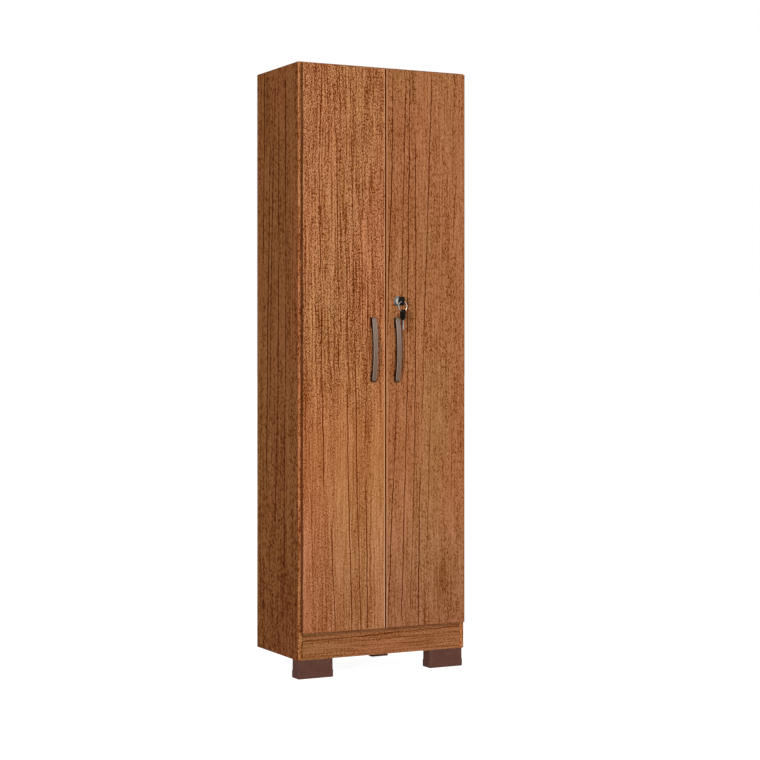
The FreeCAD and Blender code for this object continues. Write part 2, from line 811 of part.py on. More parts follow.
def lock_plug():
    """Turning plug with a keyway in front and a square tenon for the cam behind."""
    body = rod(plug_radius, on_lock(plug_front), on_lock(cam_front))
    half = tenon_side / 2
    tenon = block((lock_from_centre - half, lock_from_centre + half), (cam_front, cam_rear + cam_gap),
                  (lock_height - half, lock_height + half))
    half_slot = key_blade_thickness / 2 + keyway_clearance
    half_tall = key_blade_width / 2 + keyway_clearance
    keyway = block((lock_from_centre - half_slot, lock_from_centre + half_slot),
                   (plug_front - overrun, door_front - key_blade_seat + key_blade_length + keyway_clearance),
                   (lock_height - half_tall, lock_height + half_tall))
    thread = rod(cam_screw_radius + screw_hole_gap, on_lock(cam_rear - cam_screw_bite),
                 on_lock(cam_rear + overrun))
    return body.fuse(tenon).removeSplitter().cut([keyway, thread])


def lock_cam():
    """Cam plate on the plug's tenon, pointing up while the lock is open."""
    half = cam_width / 2
    plate = block((lock_from_centre - half, lock_from_centre + half), (cam_front, cam_rear),
                  (lock_height, lock_height + cam_length - half))
    ends = [rod(half, on_lock(cam_front, 0, height), on_lock(cam_rear, 0, height))
            for height in (0, cam_length - half)]
    hole = tenon_side / 2 + tenon_fit
    square = block((lock_from_centre - hole, lock_from_centre + hole),
                   (cam_front - overrun, cam_rear + overrun), (lock_height - hole, lock_height + hole))
    return plate.fuse(ends).removeSplitter().cut(square)


def cam_screw():
    """Screw that holds the cam on the plug."""
    seat = cam_rear + cam_gap
    head = rod(cam_screw_head, on_lock(seat), on_lock(seat + cam_screw_head_height))
    head = head.makeFillet(cam_screw_round, flat_face(head, along_y, seat + cam_screw_head_height).Edges)
    return head.fuse(rod(cam_screw_radius, on_lock(cam_rear - cam_screw_bite + fit_gap), on_lock(seat)))


# ---- Keeper ----
def keeper_seats():
    """Keeper's screw seats on its flat leaf."""
    y = carcass_front + keeper_depth - keeper_screw_margin
    return [vector(half_board + keeper_sheet, y, lock_height + side * keeper_screw_pitch / 2)
            for side in (-1, 1)]


def lock_keeper():
    """Angle on the divider: the turned cam goes behind its lip."""
    lip_rear = cam_front - keeper_cam_gap
    heights = (lock_height - keeper_height / 2, lock_height + keeper_height / 2)
    lip = block((half_board, half_board + keeper_reach), (lip_rear - keeper_sheet, lip_rear), heights)
    leaf = block((half_board, half_board + keeper_sheet),
                 (lip_rear - keeper_sheet, carcass_front + keeper_depth), heights)
    holes = [screw_hole(seat, -along_x, keeper_sheet) for seat in keeper_seats()]
    return lip.fuse(leaf).removeSplitter().cut(holes)


def keeper_screws():
    """Keeper's screws."""
    return group([screw(seat, -along_x, wood_screw_bite) for seat in keeper_seats()])


# ---- Keys and ring ----
# A key is drawn pointing along +Y with its bow in the YZ plane and the hole's centre at the origin.
key_tip_y = key_hole_proud - key_blade_seat + key_blade_length
key_neck_y = key_hole_proud - key_blade_seat
bow_low_y = key_hole_from_end - key_bow_length
key_ends = (-key_hole_from_end, key_bow_length - key_hole_from_end)


def key_head():
    """Moulded head: a rounded bow with a ring hole and a neck."""
    half = key_bow_thickness / 2
    bow = rounded_block((-half, half), key_ends, (-key_bow_width / 2, key_bow_width / 2),
                        key_bow_corner, along_x)
    rims = [edge for side in (-half, half) for edge in flat_face(bow, along_x, side).Edges]
    bow = bow.makeFillet(key_head_round, rims)
    neck = rounded_block((-half, half), (key_hole_radius, key_neck_y),
                         (-key_neck_width / 2, key_neck_width / 2), key_head_round, along_y)
    hole = rod(key_hole_radius, vector(-half - overrun, 0, 0), vector(half + overrun, 0, 0))
    return bow.fuse(neck).cut([hole, key_blank()])


def key_blank():
    """Flat steel of a key before its bits are cut."""
    half = key_blade_thickness / 2
    return block((-half, half), (key_neck_y - key_tang_length, key_tip_y),
                 (-key_blade_width / 2, key_blade_width / 2))


def across_blade(outline):
    """Cutter across a key's blade, over an outline of (y, z) points."""
    start = -key_blade_thickness / 2 - overrun
    corners = [vector(start, y, z) for y, z in outline]
    face = Part.Face(Part.makePolygon(corners + corners[:1]))
    return face.extrude(along_x * (key_blade_thickness + 2 * overrun))


def key_blade():
    """Steel blade with bits along one edge and a pointed tip."""
    edge, outside = key_blade_width / 2, key_blade_width / 2 + place_tolerance
    step = (key_blade_length - key_blade_width) / (len(key_bit_depths) + 1)
    cuts = []
    for number, depth in enumerate(key_bit_depths, 1):
        middle = key_neck_y + edge + step * number
        cuts.append(across_blade([(middle - step / 2, outside), (middle, edge - depth),
                                  (middle + step / 2, outside)]))
    tip = key_tip_y + place_tolerance
    for side in (-1, 1):
        cuts.append(across_blade([(tip, side * key_point_width / 2), (tip, side * outside),
                                  (key_tip_y - key_point_length, side * outside)]))
    return key_blank().cut(cuts)


def in_lock(shape):
    """Key's piece moved into the lock."""
    shape = shape.copy()
    shape.translate(hole_in_lock)
    return shape


def hung(shape):
    """Key's piece turned to hang down from the ring."""
    shape = shape.copy()
    shape.rotate(vector(0, 0, 0), along_x, -90)
    shape.translate(hung_hole)
    return shape


hole_in_lock = on_lock(door_front - key_hole_proud)
ring_centre = hole_in_lock - along_z * (ring_sag + ring_radius)
hung_hole = ring_centre - along_z * (ring_radius + ring_sag)


def key_ring():
    """Round wire ring through the bows of both keys."""
    return Part.makeTorus(ring_radius, ring_wire_radius, ring_centre, along_y)


# ---- Slide bolt ----
bolt_y = door_back + bolt_setback
bolt_tip = top_board_low - bolt_tip_gap
bolt_housing_high = bolt_tip - (bolt_plate_height - bolt_housing_height) / 2
bolt_housing_low = bolt_housing_high - bolt_housing_height
bolt_middle = (bolt_housing_low + bolt_housing_high) / 2
bolt_knob_low = bolt_middle - bolt_travel / 2


def bolt_screw_seats():
    """Screws of the bolt's plate."""
    return [vector(-bolt_from_centre, door_back + bolt_plate,
                   bolt_middle + side * (bolt_plate_height / 2 - bolt_screw_margin)) for side in (-1, 1)]


def bolt_housing():
    """Plate and block that the bolt slides in, with a slot for its knob."""
    half = bolt_housing_width / 2
    width = (-bolt_from_centre - half, -bolt_from_centre + half)
    plate = rounded_block(width, (door_back, door_back + bolt_plate),
                          (bolt_middle - bolt_plate_height / 2, bolt_middle + bolt_plate_height / 2),
                          bolt_plate_corner, along_y)
    body = rounded_block(width, (door_back, door_back + bolt_housing_depth),
                         (bolt_housing_low, bolt_housing_high), bolt_housing_corner, along_z)
    bore = rod(bolt_radius + bolt_fit, vector(-bolt_from_centre, bolt_y, bolt_housing_low - overrun),
               vector(-bolt_from_centre, bolt_y, bolt_housing_high + overrun))
    half_slot = bolt_knob_radius + bolt_slot_gap
    slot = block((-bolt_from_centre - half_slot, -bolt_from_centre + half_slot),
                 (bolt_y, door_back + bolt_housing_depth + overrun),
                 (bolt_knob_low - half_slot, bolt_knob_low + bolt_travel + half_slot))
    holes = [screw_hole(seat, -along_y, bolt_plate) for seat in bolt_screw_seats()]
    return plate.fuse(body).removeSplitter().cut([bore, slot] + holes)


def bolt_rod():
    """Round bolt with its knob, drawn down."""
    shaft = rod(bolt_radius, vector(-bolt_from_centre, bolt_y, bolt_housing_low),
                vector(-bolt_from_centre, bolt_y, bolt_tip))
    shaft = shaft.makeChamfer(bolt_chamfer, flat_face(shaft, along_z, bolt_tip).Edges)
    knob = rod(bolt_knob_radius, vector(-bolt_from_centre, bolt_y, bolt_knob_low),
               vector(-bolt_from_centre, bolt_y + bolt_knob_reach, bolt_knob_low))
    return shaft.fuse(knob).removeSplitter()


def bolt_socket():
    """Square mortise in the top board that the bolt goes up into."""
    half = bolt_radius + bolt_socket_gap
    return block((-bolt_from_centre - half, -bolt_from_centre + half), (bolt_y - half, bolt_y + half),
                 (top_board_low - overrun, bolt_tip + bolt_travel + bolt_socket_gap))


# ---- Small fittings ----
def cam_locks():
    """Cams in the undersides of the boards, with a driver slot."""
    cams = []
    for station in cam_stations():
        cam = rod(cam_lock_radius, station, station + along_z * cam_lock_height)
        slot = block((station.x - cam_lock_slot_length / 2, station.x + cam_lock_slot_length / 2),
                     (station.y - cam_lock_slot / 2, station.y + cam_lock_slot / 2),
                     (station.z - overrun, station.z + cam_lock_slot))
        cam = cam.cut(slot)
        cams += [cam, other_side(cam)]
    return group(cams)


def cam_bolts():
    """Bolts from the sides to the cams."""
    bolts = rods_for([cam_bolt(station) for station in cam_stations()], cam_bolt_radius)
    return group(bolts + [other_side(bolt) for bolt in bolts])


def wood_dowels():
    """Beech dowels of the plinth, the rear rail and the divider."""
    ends = rods_for(side_dowels(), dowel_radius)
    return group(ends + [other_side(end) for end in ends] + rods_for(divider_dowels(), dowel_radius))


def shelf_pins():
    """Pins with a flat ledge that the loose shelves lie on."""
    pins = []
    for seat in shelf_pin_seats():
        face, way, y, low = seat
        start, tip = shelf_pin_shank(seat)
        ledge_end = face - way * pin_ledge_length
        ledge = block(sorted((face, ledge_end)), (y - pin_ledge_width / 2, y + pin_ledge_width / 2),
                      (low - pin_ledge_thickness, low))
        web = rod(pin_shank_radius, vector(ledge_end, y, start.z), start)
        pins.append(ledge.fuse([rod(pin_shank_radius, start, tip), web]).removeSplitter())
    return group(pins)


# ---- The cupboard ----
def rail_seats(seats):
    """Foot screw seats on both sides."""
    return seats + [vector(-seat.x, seat.y, seat.z) for seat in seats]


dowel_bores = rods_for(divider_dowels(), dowel_radius, fit_gap)
nodes = {
    "side_panel_left": side_panel(),
    "side_panel_right": side_panel_right(),
    "top_panel": cammed_board(top_board_low, carcass_front, [bolt_socket()]),
    "bottom_panel": cammed_board(bottom_board_low, carcass_front, dowel_bores),
    "fixed_shelf": cammed_board(fixed_shelf_low, carcass_front, dowel_bores),
    "divider_panel": divider_panel(),
    "plinth_board": cross_rail(plinth_front, rail_seats(front_seats), -along_y),
    "rear_rail": cross_rail(rail_front, rail_seats(rear_seats), along_y),
    "back_sheet_left": back_sheet_left(),
    "back_sheet_right": other_side(back_sheet_left()),
    "back_joining_strip": back_strip(),
    "back_nails": back_nails(),
    "foot_front_left": front_foot(),
    "foot_front_right": other_side(front_foot()),
    "foot_rear_left": rear_foot(),
    "foot_rear_right": other_side(rear_foot()),
    "foot_screws": foot_screws(),
    "cam_locks": cam_locks(),
    "cam_bolts": cam_bolts(),
    "wood_dowels": wood_dowels(),
    "shelf_pins": shelf_pins(),
    "door_left": door_left(),
    "door_right": door_right(),
    "pull_left": pull(left_pull_x),
    "pull_right": pull(right_pull_x),
    "pull_screws_left": pull_screws(left_pull_x),
    "pull_screws_right": pull_screws(right_pull_x),
    "hinge_pins_left": hinge_pins(),
    "hinge_pins_right": other_side(hinge_pins()),
    "cup_screws_left": cup_screws(),
    "cup_screws_right": other_side(cup_screws()),
    "hinge_screws": hinge_screws(),
    "lock_housing": lock_housing(),
    "lock_nut": lock_nut(),
    "lock_plug": lock_plug(),
    "lock_cam": lock_cam(),
    "lock_cam_screw": cam_screw(),
    "lock_keeper": lock_keeper(),
    "keeper_screws": keeper_screws(),
    "key_head": in_lock(key_head()),
    "key_blade": in_lock(key_blade()),
    "key_ring": key_ring(),
    "spare_key_head": hung(key_head()),
    "spare_key_blade": hung(key_blade()),
    "bolt_housing": bolt_housing(),
    "bolt_rod": bolt_rod(),
    "bolt_screws": group([screw(seat, -along_y, wood_screw_bite) for seat in bolt_screw_seats()]),
}
for name, low in zip(shelf_names, shelf_lows):
    nodes[f"shelf_{name}"] = loose_shelf(low)
arms, plates = [], []
for number, height in enumerate(hinge_heights, 1):
    nodes[f"hinge_cup_left_{number}"] = hinge_cup(height)
    nodes[f"hinge_cup_right_{number}"] = other_side(hinge_cup(height))
    arms.append(hinge_arm(height))
    plates.append(hinge_plate(height))
nodes["hinge_arms_left"] = group(arms)
nodes["hinge_arms_right"] = group([other_side(arm) for arm in arms])
nodes["hinge_plates"] = group(plates + [other_side(plate) for plate in plates])

os.makedirs("parts", exist_ok=True)
for name, shape in nodes.items():
    shape.exportStep(f"parts/{name}.step")
    print(name, len(shape.Solids), shape.isValid(), round(shape.Volume, 1))
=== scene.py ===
import bpy, bmesh, math
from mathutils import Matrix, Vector


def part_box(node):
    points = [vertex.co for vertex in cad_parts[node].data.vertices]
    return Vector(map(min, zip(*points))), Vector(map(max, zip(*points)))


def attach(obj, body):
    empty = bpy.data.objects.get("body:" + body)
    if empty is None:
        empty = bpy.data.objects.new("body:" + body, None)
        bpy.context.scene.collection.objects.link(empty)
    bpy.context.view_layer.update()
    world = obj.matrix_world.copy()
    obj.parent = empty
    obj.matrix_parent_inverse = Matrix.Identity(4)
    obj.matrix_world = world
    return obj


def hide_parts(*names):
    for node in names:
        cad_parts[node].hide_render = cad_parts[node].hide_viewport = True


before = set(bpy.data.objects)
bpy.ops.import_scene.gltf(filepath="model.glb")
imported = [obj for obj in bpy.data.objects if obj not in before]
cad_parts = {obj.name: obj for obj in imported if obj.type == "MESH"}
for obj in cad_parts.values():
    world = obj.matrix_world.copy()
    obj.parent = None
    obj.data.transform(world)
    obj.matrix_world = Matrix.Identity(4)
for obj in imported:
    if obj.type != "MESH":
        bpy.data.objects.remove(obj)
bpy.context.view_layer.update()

print("cupboard frame loaded")

mm = 0.001
tiny = 0.01 * mm    # how near a corner lies to the place it is picked by


# Selecting and finishing, as by hand
def clearSelection():
    bpy.ops.object.select_all(action='DESELECT')


def activate(piece):
    clearSelection()
    piece.select_set(True)
    bpy.context.view_layer.objects.active = piece


def editing(piece, mode='VERT'):
    activate(piece)
    bpy.ops.object.mode_set(mode='EDIT')
    bpy.ops.mesh.select_mode(type=mode)
    bpy.ops.mesh.select_all(action='DESELECT')


def picked(piece, kind, wanted):
    # selects the vertices, edges or faces of the piece in edit mode that the test wants
    shape = bmesh.from_edit_mesh(piece.data)
    items = getattr(shape, kind)
    for item in items:
        item.select = False
    for item in items:
        if wanted(item):
            item.select = True
    shape.select_flush_mode()
    bmesh.update_edit_mesh(piece.data)


def leaveEditing():
    bpy.ops.object.mode_set(mode='OBJECT')


def applied(piece, kind, **settings):
    activate(piece)
    modifier = piece.modifiers.new(kind.lower(), kind)
    for name, value in settings.items():
        setattr(modifier, name, value)
    bpy.ops.object.modifier_apply(modifier=modifier.name)


def cutWith(piece, cutter):
    applied(piece, 'BOOLEAN', operation='DIFFERENCE', object=cutter, solver='EXACT')
    bpy.data.objects.remove(cutter, do_unlink=True)


def settle(piece):
    # puts the piece's place in its mesh
    activate(piece)
    bpy.ops.object.transform_apply(location=True, rotation=True, scale=True)


def joined(pieces):
    clearSelection()
    for piece in pieces:
        piece.select_set(True)
    bpy.context.view_layer.objects.active = pieces[0]
    if len(pieces) > 1:
        bpy.ops.object.join()
    return bpy.context.view_layer.objects.active


def copied(piece):
    twin = piece.copy()
    twin.data = piece.data.copy()
    bpy.context.collection.objects.link(twin)
    return twin


def finished(piece, name, body, material, smooth=35.0):
    settle(piece)
    piece.name = name
    piece.data.name = name
    if material:
        piece.data.materials.clear()
        piece.data.materials.append(material)
    bpy.ops.object.shade_smooth_by_angle(angle=math.radians(smooth))
    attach(piece, body)


# Material nodes
def linear(red, green, blue):
    # a screen colour of 0 to 255 as a shader's colour
    return tuple(((part / 255 + 0.055) / 1.055) ** 2.4 if part > 10 else part / 3295
                 for part in (red, green, blue)) + (1.0,)


def addNode(tree, kind, inputs=None, **settings):
    made = tree.nodes.new(kind)
    for name, value in settings.items():
        setattr(made, name, value)
    for name, value in (inputs or {}).items():
        if isinstance(value, bpy.types.NodeSocket):
            tree.links.new(value, made.inputs[name])
        else:
            made.inputs[name].default_value = value
    return made


def maths(tree, operation, first, second=0.0, third=0.0):
    made = addNode(tree, 'ShaderNodeMath', {0: first, 1: second, 2: third}, operation=operation)
    return made.outputs[0]


def between(tree, value, low, high, start=0.0, end=1.0):
    # smooth step from start to end while value goes from low to high
    made = addNode(tree, 'ShaderNodeMapRange', {'Value': value, 'From Min': low, 'From Max': high,
                                                'To Min': start, 'To Max': end})
    made.interpolation_type = 'SMOOTHSTEP'
    return made.outputs[0]


def mixed(tree, factor, first, second, blend='MIX'):
    made = addNode(tree, 'ShaderNodeMix', data_type='RGBA', blend_type=blend)
    for number, value in ((0, factor), (6, first), (7, second)):
        if isinstance(value, bpy.types.NodeSocket):
            tree.links.new(value, made.inputs[number])
        else:
            made.inputs[number].default_value = value
    return made.outputs[2]


def ramp(tree, value, stops):
    made = addNode(tree, 'ShaderNodeValToRGB', {0: value})
    line = made.color_ramp
    while len(line.elements) < len(stops):
        line.elements.new(0.5)
    for element, (place, colour) in zip(line.elements, stops):
        element.position = place
        element.color = colour
    return made.outputs[0]


def noise(tree, place, scale, seed=0.0, detail=2.0, rough=0.5):
    # scale is how many cells a metre along each axis, and the seed moves the pattern elsewhere
    away = (seed, seed * 0.7, seed * 1.3)
    spread = addNode(tree, 'ShaderNodeMapping', {'Vector': place, 'Location': away, 'Scale': scale})
    made = addNode(tree, 'ShaderNodeTexNoise', {'Vector': spread.outputs[0], 'Scale': 1.0,
                                                'Detail': detail, 'Roughness': rough})
    return made.outputs[0]


def emptyTree(owner):
    owner.use_nodes = True
    owner.node_tree.nodes.clear()
    return owner.node_tree


def newMaterial(name, **shine):
    material = bpy.data.materials.new(name)
    tree = emptyTree(material)
    shader = addNode(tree, 'ShaderNodeBsdfPrincipled', shine)
    output = addNode(tree, 'ShaderNodeOutputMaterial')
    tree.links.new(shader.outputs[0], output.inputs[0])
    return material, tree, shader


def objectPlace(tree):
    return addNode(tree, 'ShaderNodeTexCoord').outputs['Object']


def coloured(tree, shader, colour, rough):
    tree.links.new(colour, shader.inputs['Base Color'])
    tree.links.new(rough, shader.inputs['Roughness'])


def raised(tree, shader, height, strength, distance):
    bump = addNode(tree, 'ShaderNodeBump', {'Height': height, 'Strength': strength,
                                            'Distance': distance})
    tree.links.new(bump.outputs[0], shader.inputs['Normal'])


def summed(tree, values):
    total = None
    for value in values:
        total = value if total is None else maths(tree, 'ADD', total, value)
    return total


# Laminated boards
woodTones = {
    # the printed grain from its palest ground to its darkest vessels
    "stops": ((0.0, (197, 134, 92)), (0.3, (173, 111, 69)), (0.66, (135, 71, 22)), (1.0, (92, 33, 4))),
    "red": linear(255, 243, 240),        # tints that drift over the board
    "olive": linear(250, 253, 242),
    "edge": linear(176, 163, 150),       # painted shade: what the doors' side faces are darkened by, for the shade in the gaps beside them
    "low": linear(253, 257, 288),        # what the doors' lower ends are cooled by
}

woodGrain = {
    "drift": 26 * mm,                    # how far the fibres wander sideways
    "driftEvery": (0.8, 0.8, 2.6),       # cells a metre across, through and along the grain
    "tremble": 9 * mm,
    "trembleEvery": (9, 9, 21),
    "lineTremble": 6 * mm,
    "specks": (480, 480, 210),
    "speckSpan": (0.44, 0.68),           # noise from which a speck begins, and where it is full
    "speckTone": 1.1,
    "streaks": (230, 230, 9),
    "streakTone": 1.68,
    "hairs": (1700, 1700, 70),           # fine fibres, seen from near by only
    "hairTone": 1.1,
    "pinstripe": 9.1 * mm,               # from one fine line of the print to the next
    "pinstripeSway": (14, 14, 5),
    "pinstripeTurns": 2.2,               # how many periods the sway shifts them by
    "pinstripeTone": 0.11,
    "bands": (34, 34, 1.4),
    "bandSpan": (0.36, 0.64),
    "bandTone": 0.2,
    "crowding": (0.78, 1.18),            # strength of the specks in calm and in busy bands
    "base": 0.16,
    "lineHalf": 2.6 * mm,
    "lineTone": 2.0,
    "linePale": 0.25,                    # how pale the ridge beside a line is
    "ridgeReach": 2.4,                   # where the ridge ends, in halves of the line
    "lineFade": 45 * mm,                 # half the length in which a line starts or ends
    "lineBreaks": (60, 60, 90),
    "breakSpan": (0.3, 0.62, 0.6, 1.1),  # weak and strong places: noise from and to, tone from and to
    "patchCore": 0.2,                    # share of a patch that has its full tone
    "strengthHeights": (0.6, 1.0),       # metres along the board between which the strength changes
    "coolHeights": (0.1, 0.6),
    "hueEvery": (5, 5, 1.6),
    "hueSpan": (0.35, 0.65),
    "edgeShadeWidth": 1.3 * mm,                 # width of the painted shade line at a door's edge
    "edgeShadeCore": 0.3,                      # share of it that has its full tone
    "edgeHighlight": (2.6 * mm, 4.6 * mm),       # where the painted highlight beside it begins to fade and ends
    "shadedSideFacing": (0.5, 0.9),             # how far a face looks sideways to get the painted shade of a door's side face
    "rough": (0.55, 0.72),               # on the ground and in the vessels
    "reliefStrength": 0.3,
    "relief": 0.25 * mm,
}


def grainLines(tree, across, along, breaks, lines, half):
    # dark growth lines, each from its place at the top to its place at the bottom
    shown = []
    fade = woodGrain["lineFade"]
    for top, bottom, high, low, tone in lines:
        slope = (top - bottom) / (high - low)
        middle = maths(tree, 'MULTIPLY_ADD', along, slope, (bottom - slope * low) * mm)
        away = maths(tree, 'ABSOLUTE', maths(tree, 'SUBTRACT', across, middle))
        ridge = between(tree, away, half, woodGrain["ridgeReach"] * half,
                        -woodGrain["linePale"] * tone, 0.0)
        line = between(tree, away, 0.0, half, woodGrain["lineTone"] * tone, 0.0)
        above = between(tree, along, low * mm - fade, low * mm + fade)
        below = between(tree, along, high * mm - fade, high * mm + fade, 1.0, 0.0)
        shown.append(maths(tree, 'MULTIPLY', maths(tree, 'ADD', line, ridge),
                           maths(tree, 'MULTIPLY', above, below)))
    return maths(tree, 'MULTIPLY', summed(tree, shown), breaks)


def patchTone(tree, across, along, patches):
    # broad darker or paler places, each an oval that fades outwards
    shown = []
    for middle, height, width, tall, tone in patches:
        sideways = maths(tree, 'DIVIDE', maths(tree, 'SUBTRACT', across, middle * mm), width * mm)
        upwards = maths(tree, 'DIVIDE', maths(tree, 'SUBTRACT', along, height * mm), tall * mm)
        away = maths(tree, 'SQRT', maths(tree, 'ADD', maths(tree, 'MULTIPLY', sideways, sideways),
                                         maths(tree, 'MULTIPLY', upwards, upwards)))
        shown.append(between(tree, away, woodGrain["patchCore"], 1.0, tone, 0.0))
    return summed(tree, shown)


def edgeShadeAndHighlight(tree, across, rims):
    # painted shade line and painted highlight along a door's upright edges: place, tone of the shade
    # line, tone of the highlight
    shown = []
    dark = woodGrain["edgeShadeWidth"]
    for place, edgeShadeTone, edgeHighlightTone in rims:
        away = maths(tree, 'ABSOLUTE', maths(tree, 'SUBTRACT', across, place))
        pale = between(tree, away, *woodGrain["edgeHighlight"], edgeHighlightTone, 0.0)
        line = between(tree, away, woodGrain["edgeShadeCore"] * dark, dark, edgeShadeTone - edgeHighlightTone, 0.0)
        shown.append(maths(tree, 'ADD', pale, line))
    return summed(tree, shown)


def woodMaterial(name, axes, seed, lines=(), patches=(), strength=(0.9, 0.9), tint=(1.0, 1.0, 1.0),
                 coarse=1.0, gloss=0.05, rims=None):
    # strength of the grain low and high on the board, and coarse above 1 makes it broader
    material, tree, shader = newMaterial(name, **{'Specular IOR Level': gloss})
    spot = addNode(tree, 'ShaderNodeSeparateXYZ', {0: objectPlace(tree)})
    across, depth, along = (spot.outputs[axis] for axis in axes)
    plain = addNode(tree, 'ShaderNodeCombineXYZ', {0: across, 1: depth, 2: along}).outputs[0]
    wander = maths(tree, 'SUBTRACT', noise(tree, plain, woodGrain["driftEvery"], seed, 1.0), 0.5)
    tremble = maths(tree, 'SUBTRACT', noise(tree, plain, woodGrain["trembleEvery"], seed, 2.0), 0.5)
    bentAcross = maths(tree, 'MULTIPLY_ADD', tremble, woodGrain["tremble"], across)
    bentAcross = maths(tree, 'MULTIPLY_ADD', wander, woodGrain["drift"], bentAcross)
    bent = addNode(tree, 'ShaderNodeCombineXYZ', {0: bentAcross, 1: depth, 2: along}).outputs[0]

    broader = [(x / coarse, y / coarse, z / math.sqrt(coarse))
               for x, y, z in (woodGrain["specks"], woodGrain["streaks"])]
    specks = noise(tree, bent, broader[0], seed + 3, 1.0, 0.6)
    streaks = noise(tree, bent, broader[1], seed + 7, 2.0, 0.6)
    bands = noise(tree, bent, woodGrain["bands"], seed + 11, 1.0)
    full = between(tree, along, *woodGrain["strengthHeights"], *strength)
    busy = between(tree, bands, *woodGrain["bandSpan"], *woodGrain["crowding"])
    dashes = between(tree, specks, *woodGrain["speckSpan"], 0.0, woodGrain["speckTone"])
    fibres = maths(tree, 'MULTIPLY', maths(tree, 'SUBTRACT', streaks, 0.5), woodGrain["streakTone"])
    sway = maths(tree, 'MULTIPLY', noise(tree, plain, woodGrain["pinstripeSway"], seed + 19, 2.0),
                 2 * math.pi * woodGrain["pinstripeTurns"])
    phase = maths(tree, 'MULTIPLY_ADD', across, 2 * math.pi / woodGrain["pinstripe"] / coarse, sway)
    fibres = maths(tree, 'MULTIPLY_ADD', maths(tree, 'SINE', phase), woodGrain["pinstripeTone"], fibres)
    hairs = maths(tree, 'SUBTRACT', noise(tree, bent, woodGrain["hairs"], seed + 23, 1.0), 0.5)
    fibres = maths(tree, 'MULTIPLY_ADD', hairs, woodGrain["hairTone"], fibres)
    grain = maths(tree, 'MULTIPLY_ADD', dashes, busy, fibres)
    dark = maths(tree, 'MULTIPLY_ADD', grain, full, woodGrain["base"])
    dark = maths(tree, 'MULTIPLY_ADD', maths(tree, 'SUBTRACT', bands, 0.5), woodGrain["bandTone"], dark)
    if lines:
        weak = noise(tree, bent, woodGrain["lineBreaks"], seed + 13, 1.0)
        breaks = between(tree, weak, *woodGrain["breakSpan"])
        steady = maths(tree, 'MULTIPLY_ADD', tremble, woodGrain["lineTremble"], across)
        dark = maths(tree, 'ADD', dark, grainLines(tree, steady, along, breaks, lines,
                                                   coarse * woodGrain["lineHalf"]))
    if patches:
        dark = maths(tree, 'ADD', dark, patchTone(tree, across, along, patches))
    if rims:
        facing = addNode(tree, 'ShaderNodeTexCoord').outputs['Normal']
        sideways = addNode(tree, 'ShaderNodeSeparateXYZ', {0: facing}).outputs[0]
        # painted shade on faces that look sideways, the doors' side faces
        shadedSideFace = between(tree, maths(tree, 'ABSOLUTE', sideways), *woodGrain["shadedSideFacing"])
        onFace = maths(tree, 'SUBTRACT', 1.0, shadedSideFace)
        # painted shade and painted highlight along the doors' upright edges, kept off the side faces
        dark = maths(tree, 'MULTIPLY_ADD', edgeShadeAndHighlight(tree, across, rims), onFace, dark)

    stops = [(place, linear(*(part * share for part, share in zip(tone, tint))))
             for place, tone in woodTones["stops"]]
    colour = ramp(tree, dark, stops)
    hue = noise(tree, plain, woodGrain["hueEvery"], seed + 17, 1.0)
    drifting = mixed(tree, between(tree, hue, *woodGrain["hueSpan"]), woodTones["red"],
                     woodTones["olive"])
    colour = mixed(tree, 1.0, colour, drifting, 'MULTIPLY')
    if rims:
        cool = between(tree, along, *woodGrain["coolHeights"], 1.0, 0.0)
        colour = mixed(tree, cool, colour, woodTones["low"], 'MULTIPLY')
        # painted shade on the doors' side faces
        colour = mixed(tree, shadedSideFace, colour, woodTones["edge"], 'MULTIPLY')
    coloured(tree, shader, colour, between(tree, dark, 0.0, 1.0, *woodGrain["rough"]))
    raised(tree, shader, maths(tree, 'SUBTRACT', 1.0, dark), woodGrain["reliefStrength"],
           woodGrain["relief"])
    return material


# growth lines: place at the top and at the bottom of the run, its height from and to, tone
leftDoorLines = (
    (-190, -197, 1600, 1350, 0.75), (-197, -193, 1350, 1050, 0.85), (-193, -184, 1050, 520, 0.65),
    (-174, -167, 1600, 1250, 0.25), (-160, -146, 1600, 1420, 0.4), (-146, -141, 1420, 1050, 0.8),
    (-141, -139, 1050, 800, 0.7), (-106, -100, 1600, 1300, 0.75), (-100, -93, 1300, 930, 0.6),
    (-93, -84, 930, 450, 0.7), (-84, -75, 450, 140, 0.5), (-116, -111, 1110, 800, 0.75),
    (-115, -112, 760, 540, 0.6), (-112, -101, 540, 140, 0.6), (-58, -55, 500, 140, 0.7),
    (-68, -71, 1330, 1130, 0.3), (-52, -61, 1090, 640, 0.3), (-14, -12, 1460, 1130, 0.3),
    (-237, -237, 1330, 650, 0.3), (-221, -216, 1210, 900, 0.28), (-226, -215, 620, 300, 0.25),
    (-209, -202, 1080, 650, 0.25), (-160, -150, 380, 130, 0.5), (-178, -176, 280, 150, 0.3),
)
rightDoorLines = (
    (22, 20, 1610, 1400, 0.65), (20, 10, 1400, 1080, 0.85), (10, 4, 1080, 880, 0.7),
    (33, 20, 720, 450, 0.5), (20, 9, 450, 180, 0.6), (62, 51, 1600, 1170, 0.5),
    (51, 49, 1170, 880, 0.7), (50, 52, 880, 780, 0.5), (74, 67, 1610, 1050, 0.55),
    (67, 67, 1050, 800, 0.35), (67, 56, 800, 450, 0.6), (56, 49, 450, 150, 0.55),
    (90, 92, 1450, 930, 0.5), (92, 87, 930, 570, 0.6), (87, 75, 570, 150, 0.35),
    (141, 130, 1610, 1290, 0.75), (130, 118, 1290, 930, 0.55), (118, 111, 930, 690, 0.4),
    (108, 102, 560, 450, 0.4), (102, 100, 450, 150, 0.7), (137, 125, 700, 300, 0.33),
    (187, 187, 1600, 1480, 0.25), (217, 204, 1340, 1120, 0.25), (176, 176, 620, 520, 0.25),
    (202, 202, 620, 520, 0.28),
)
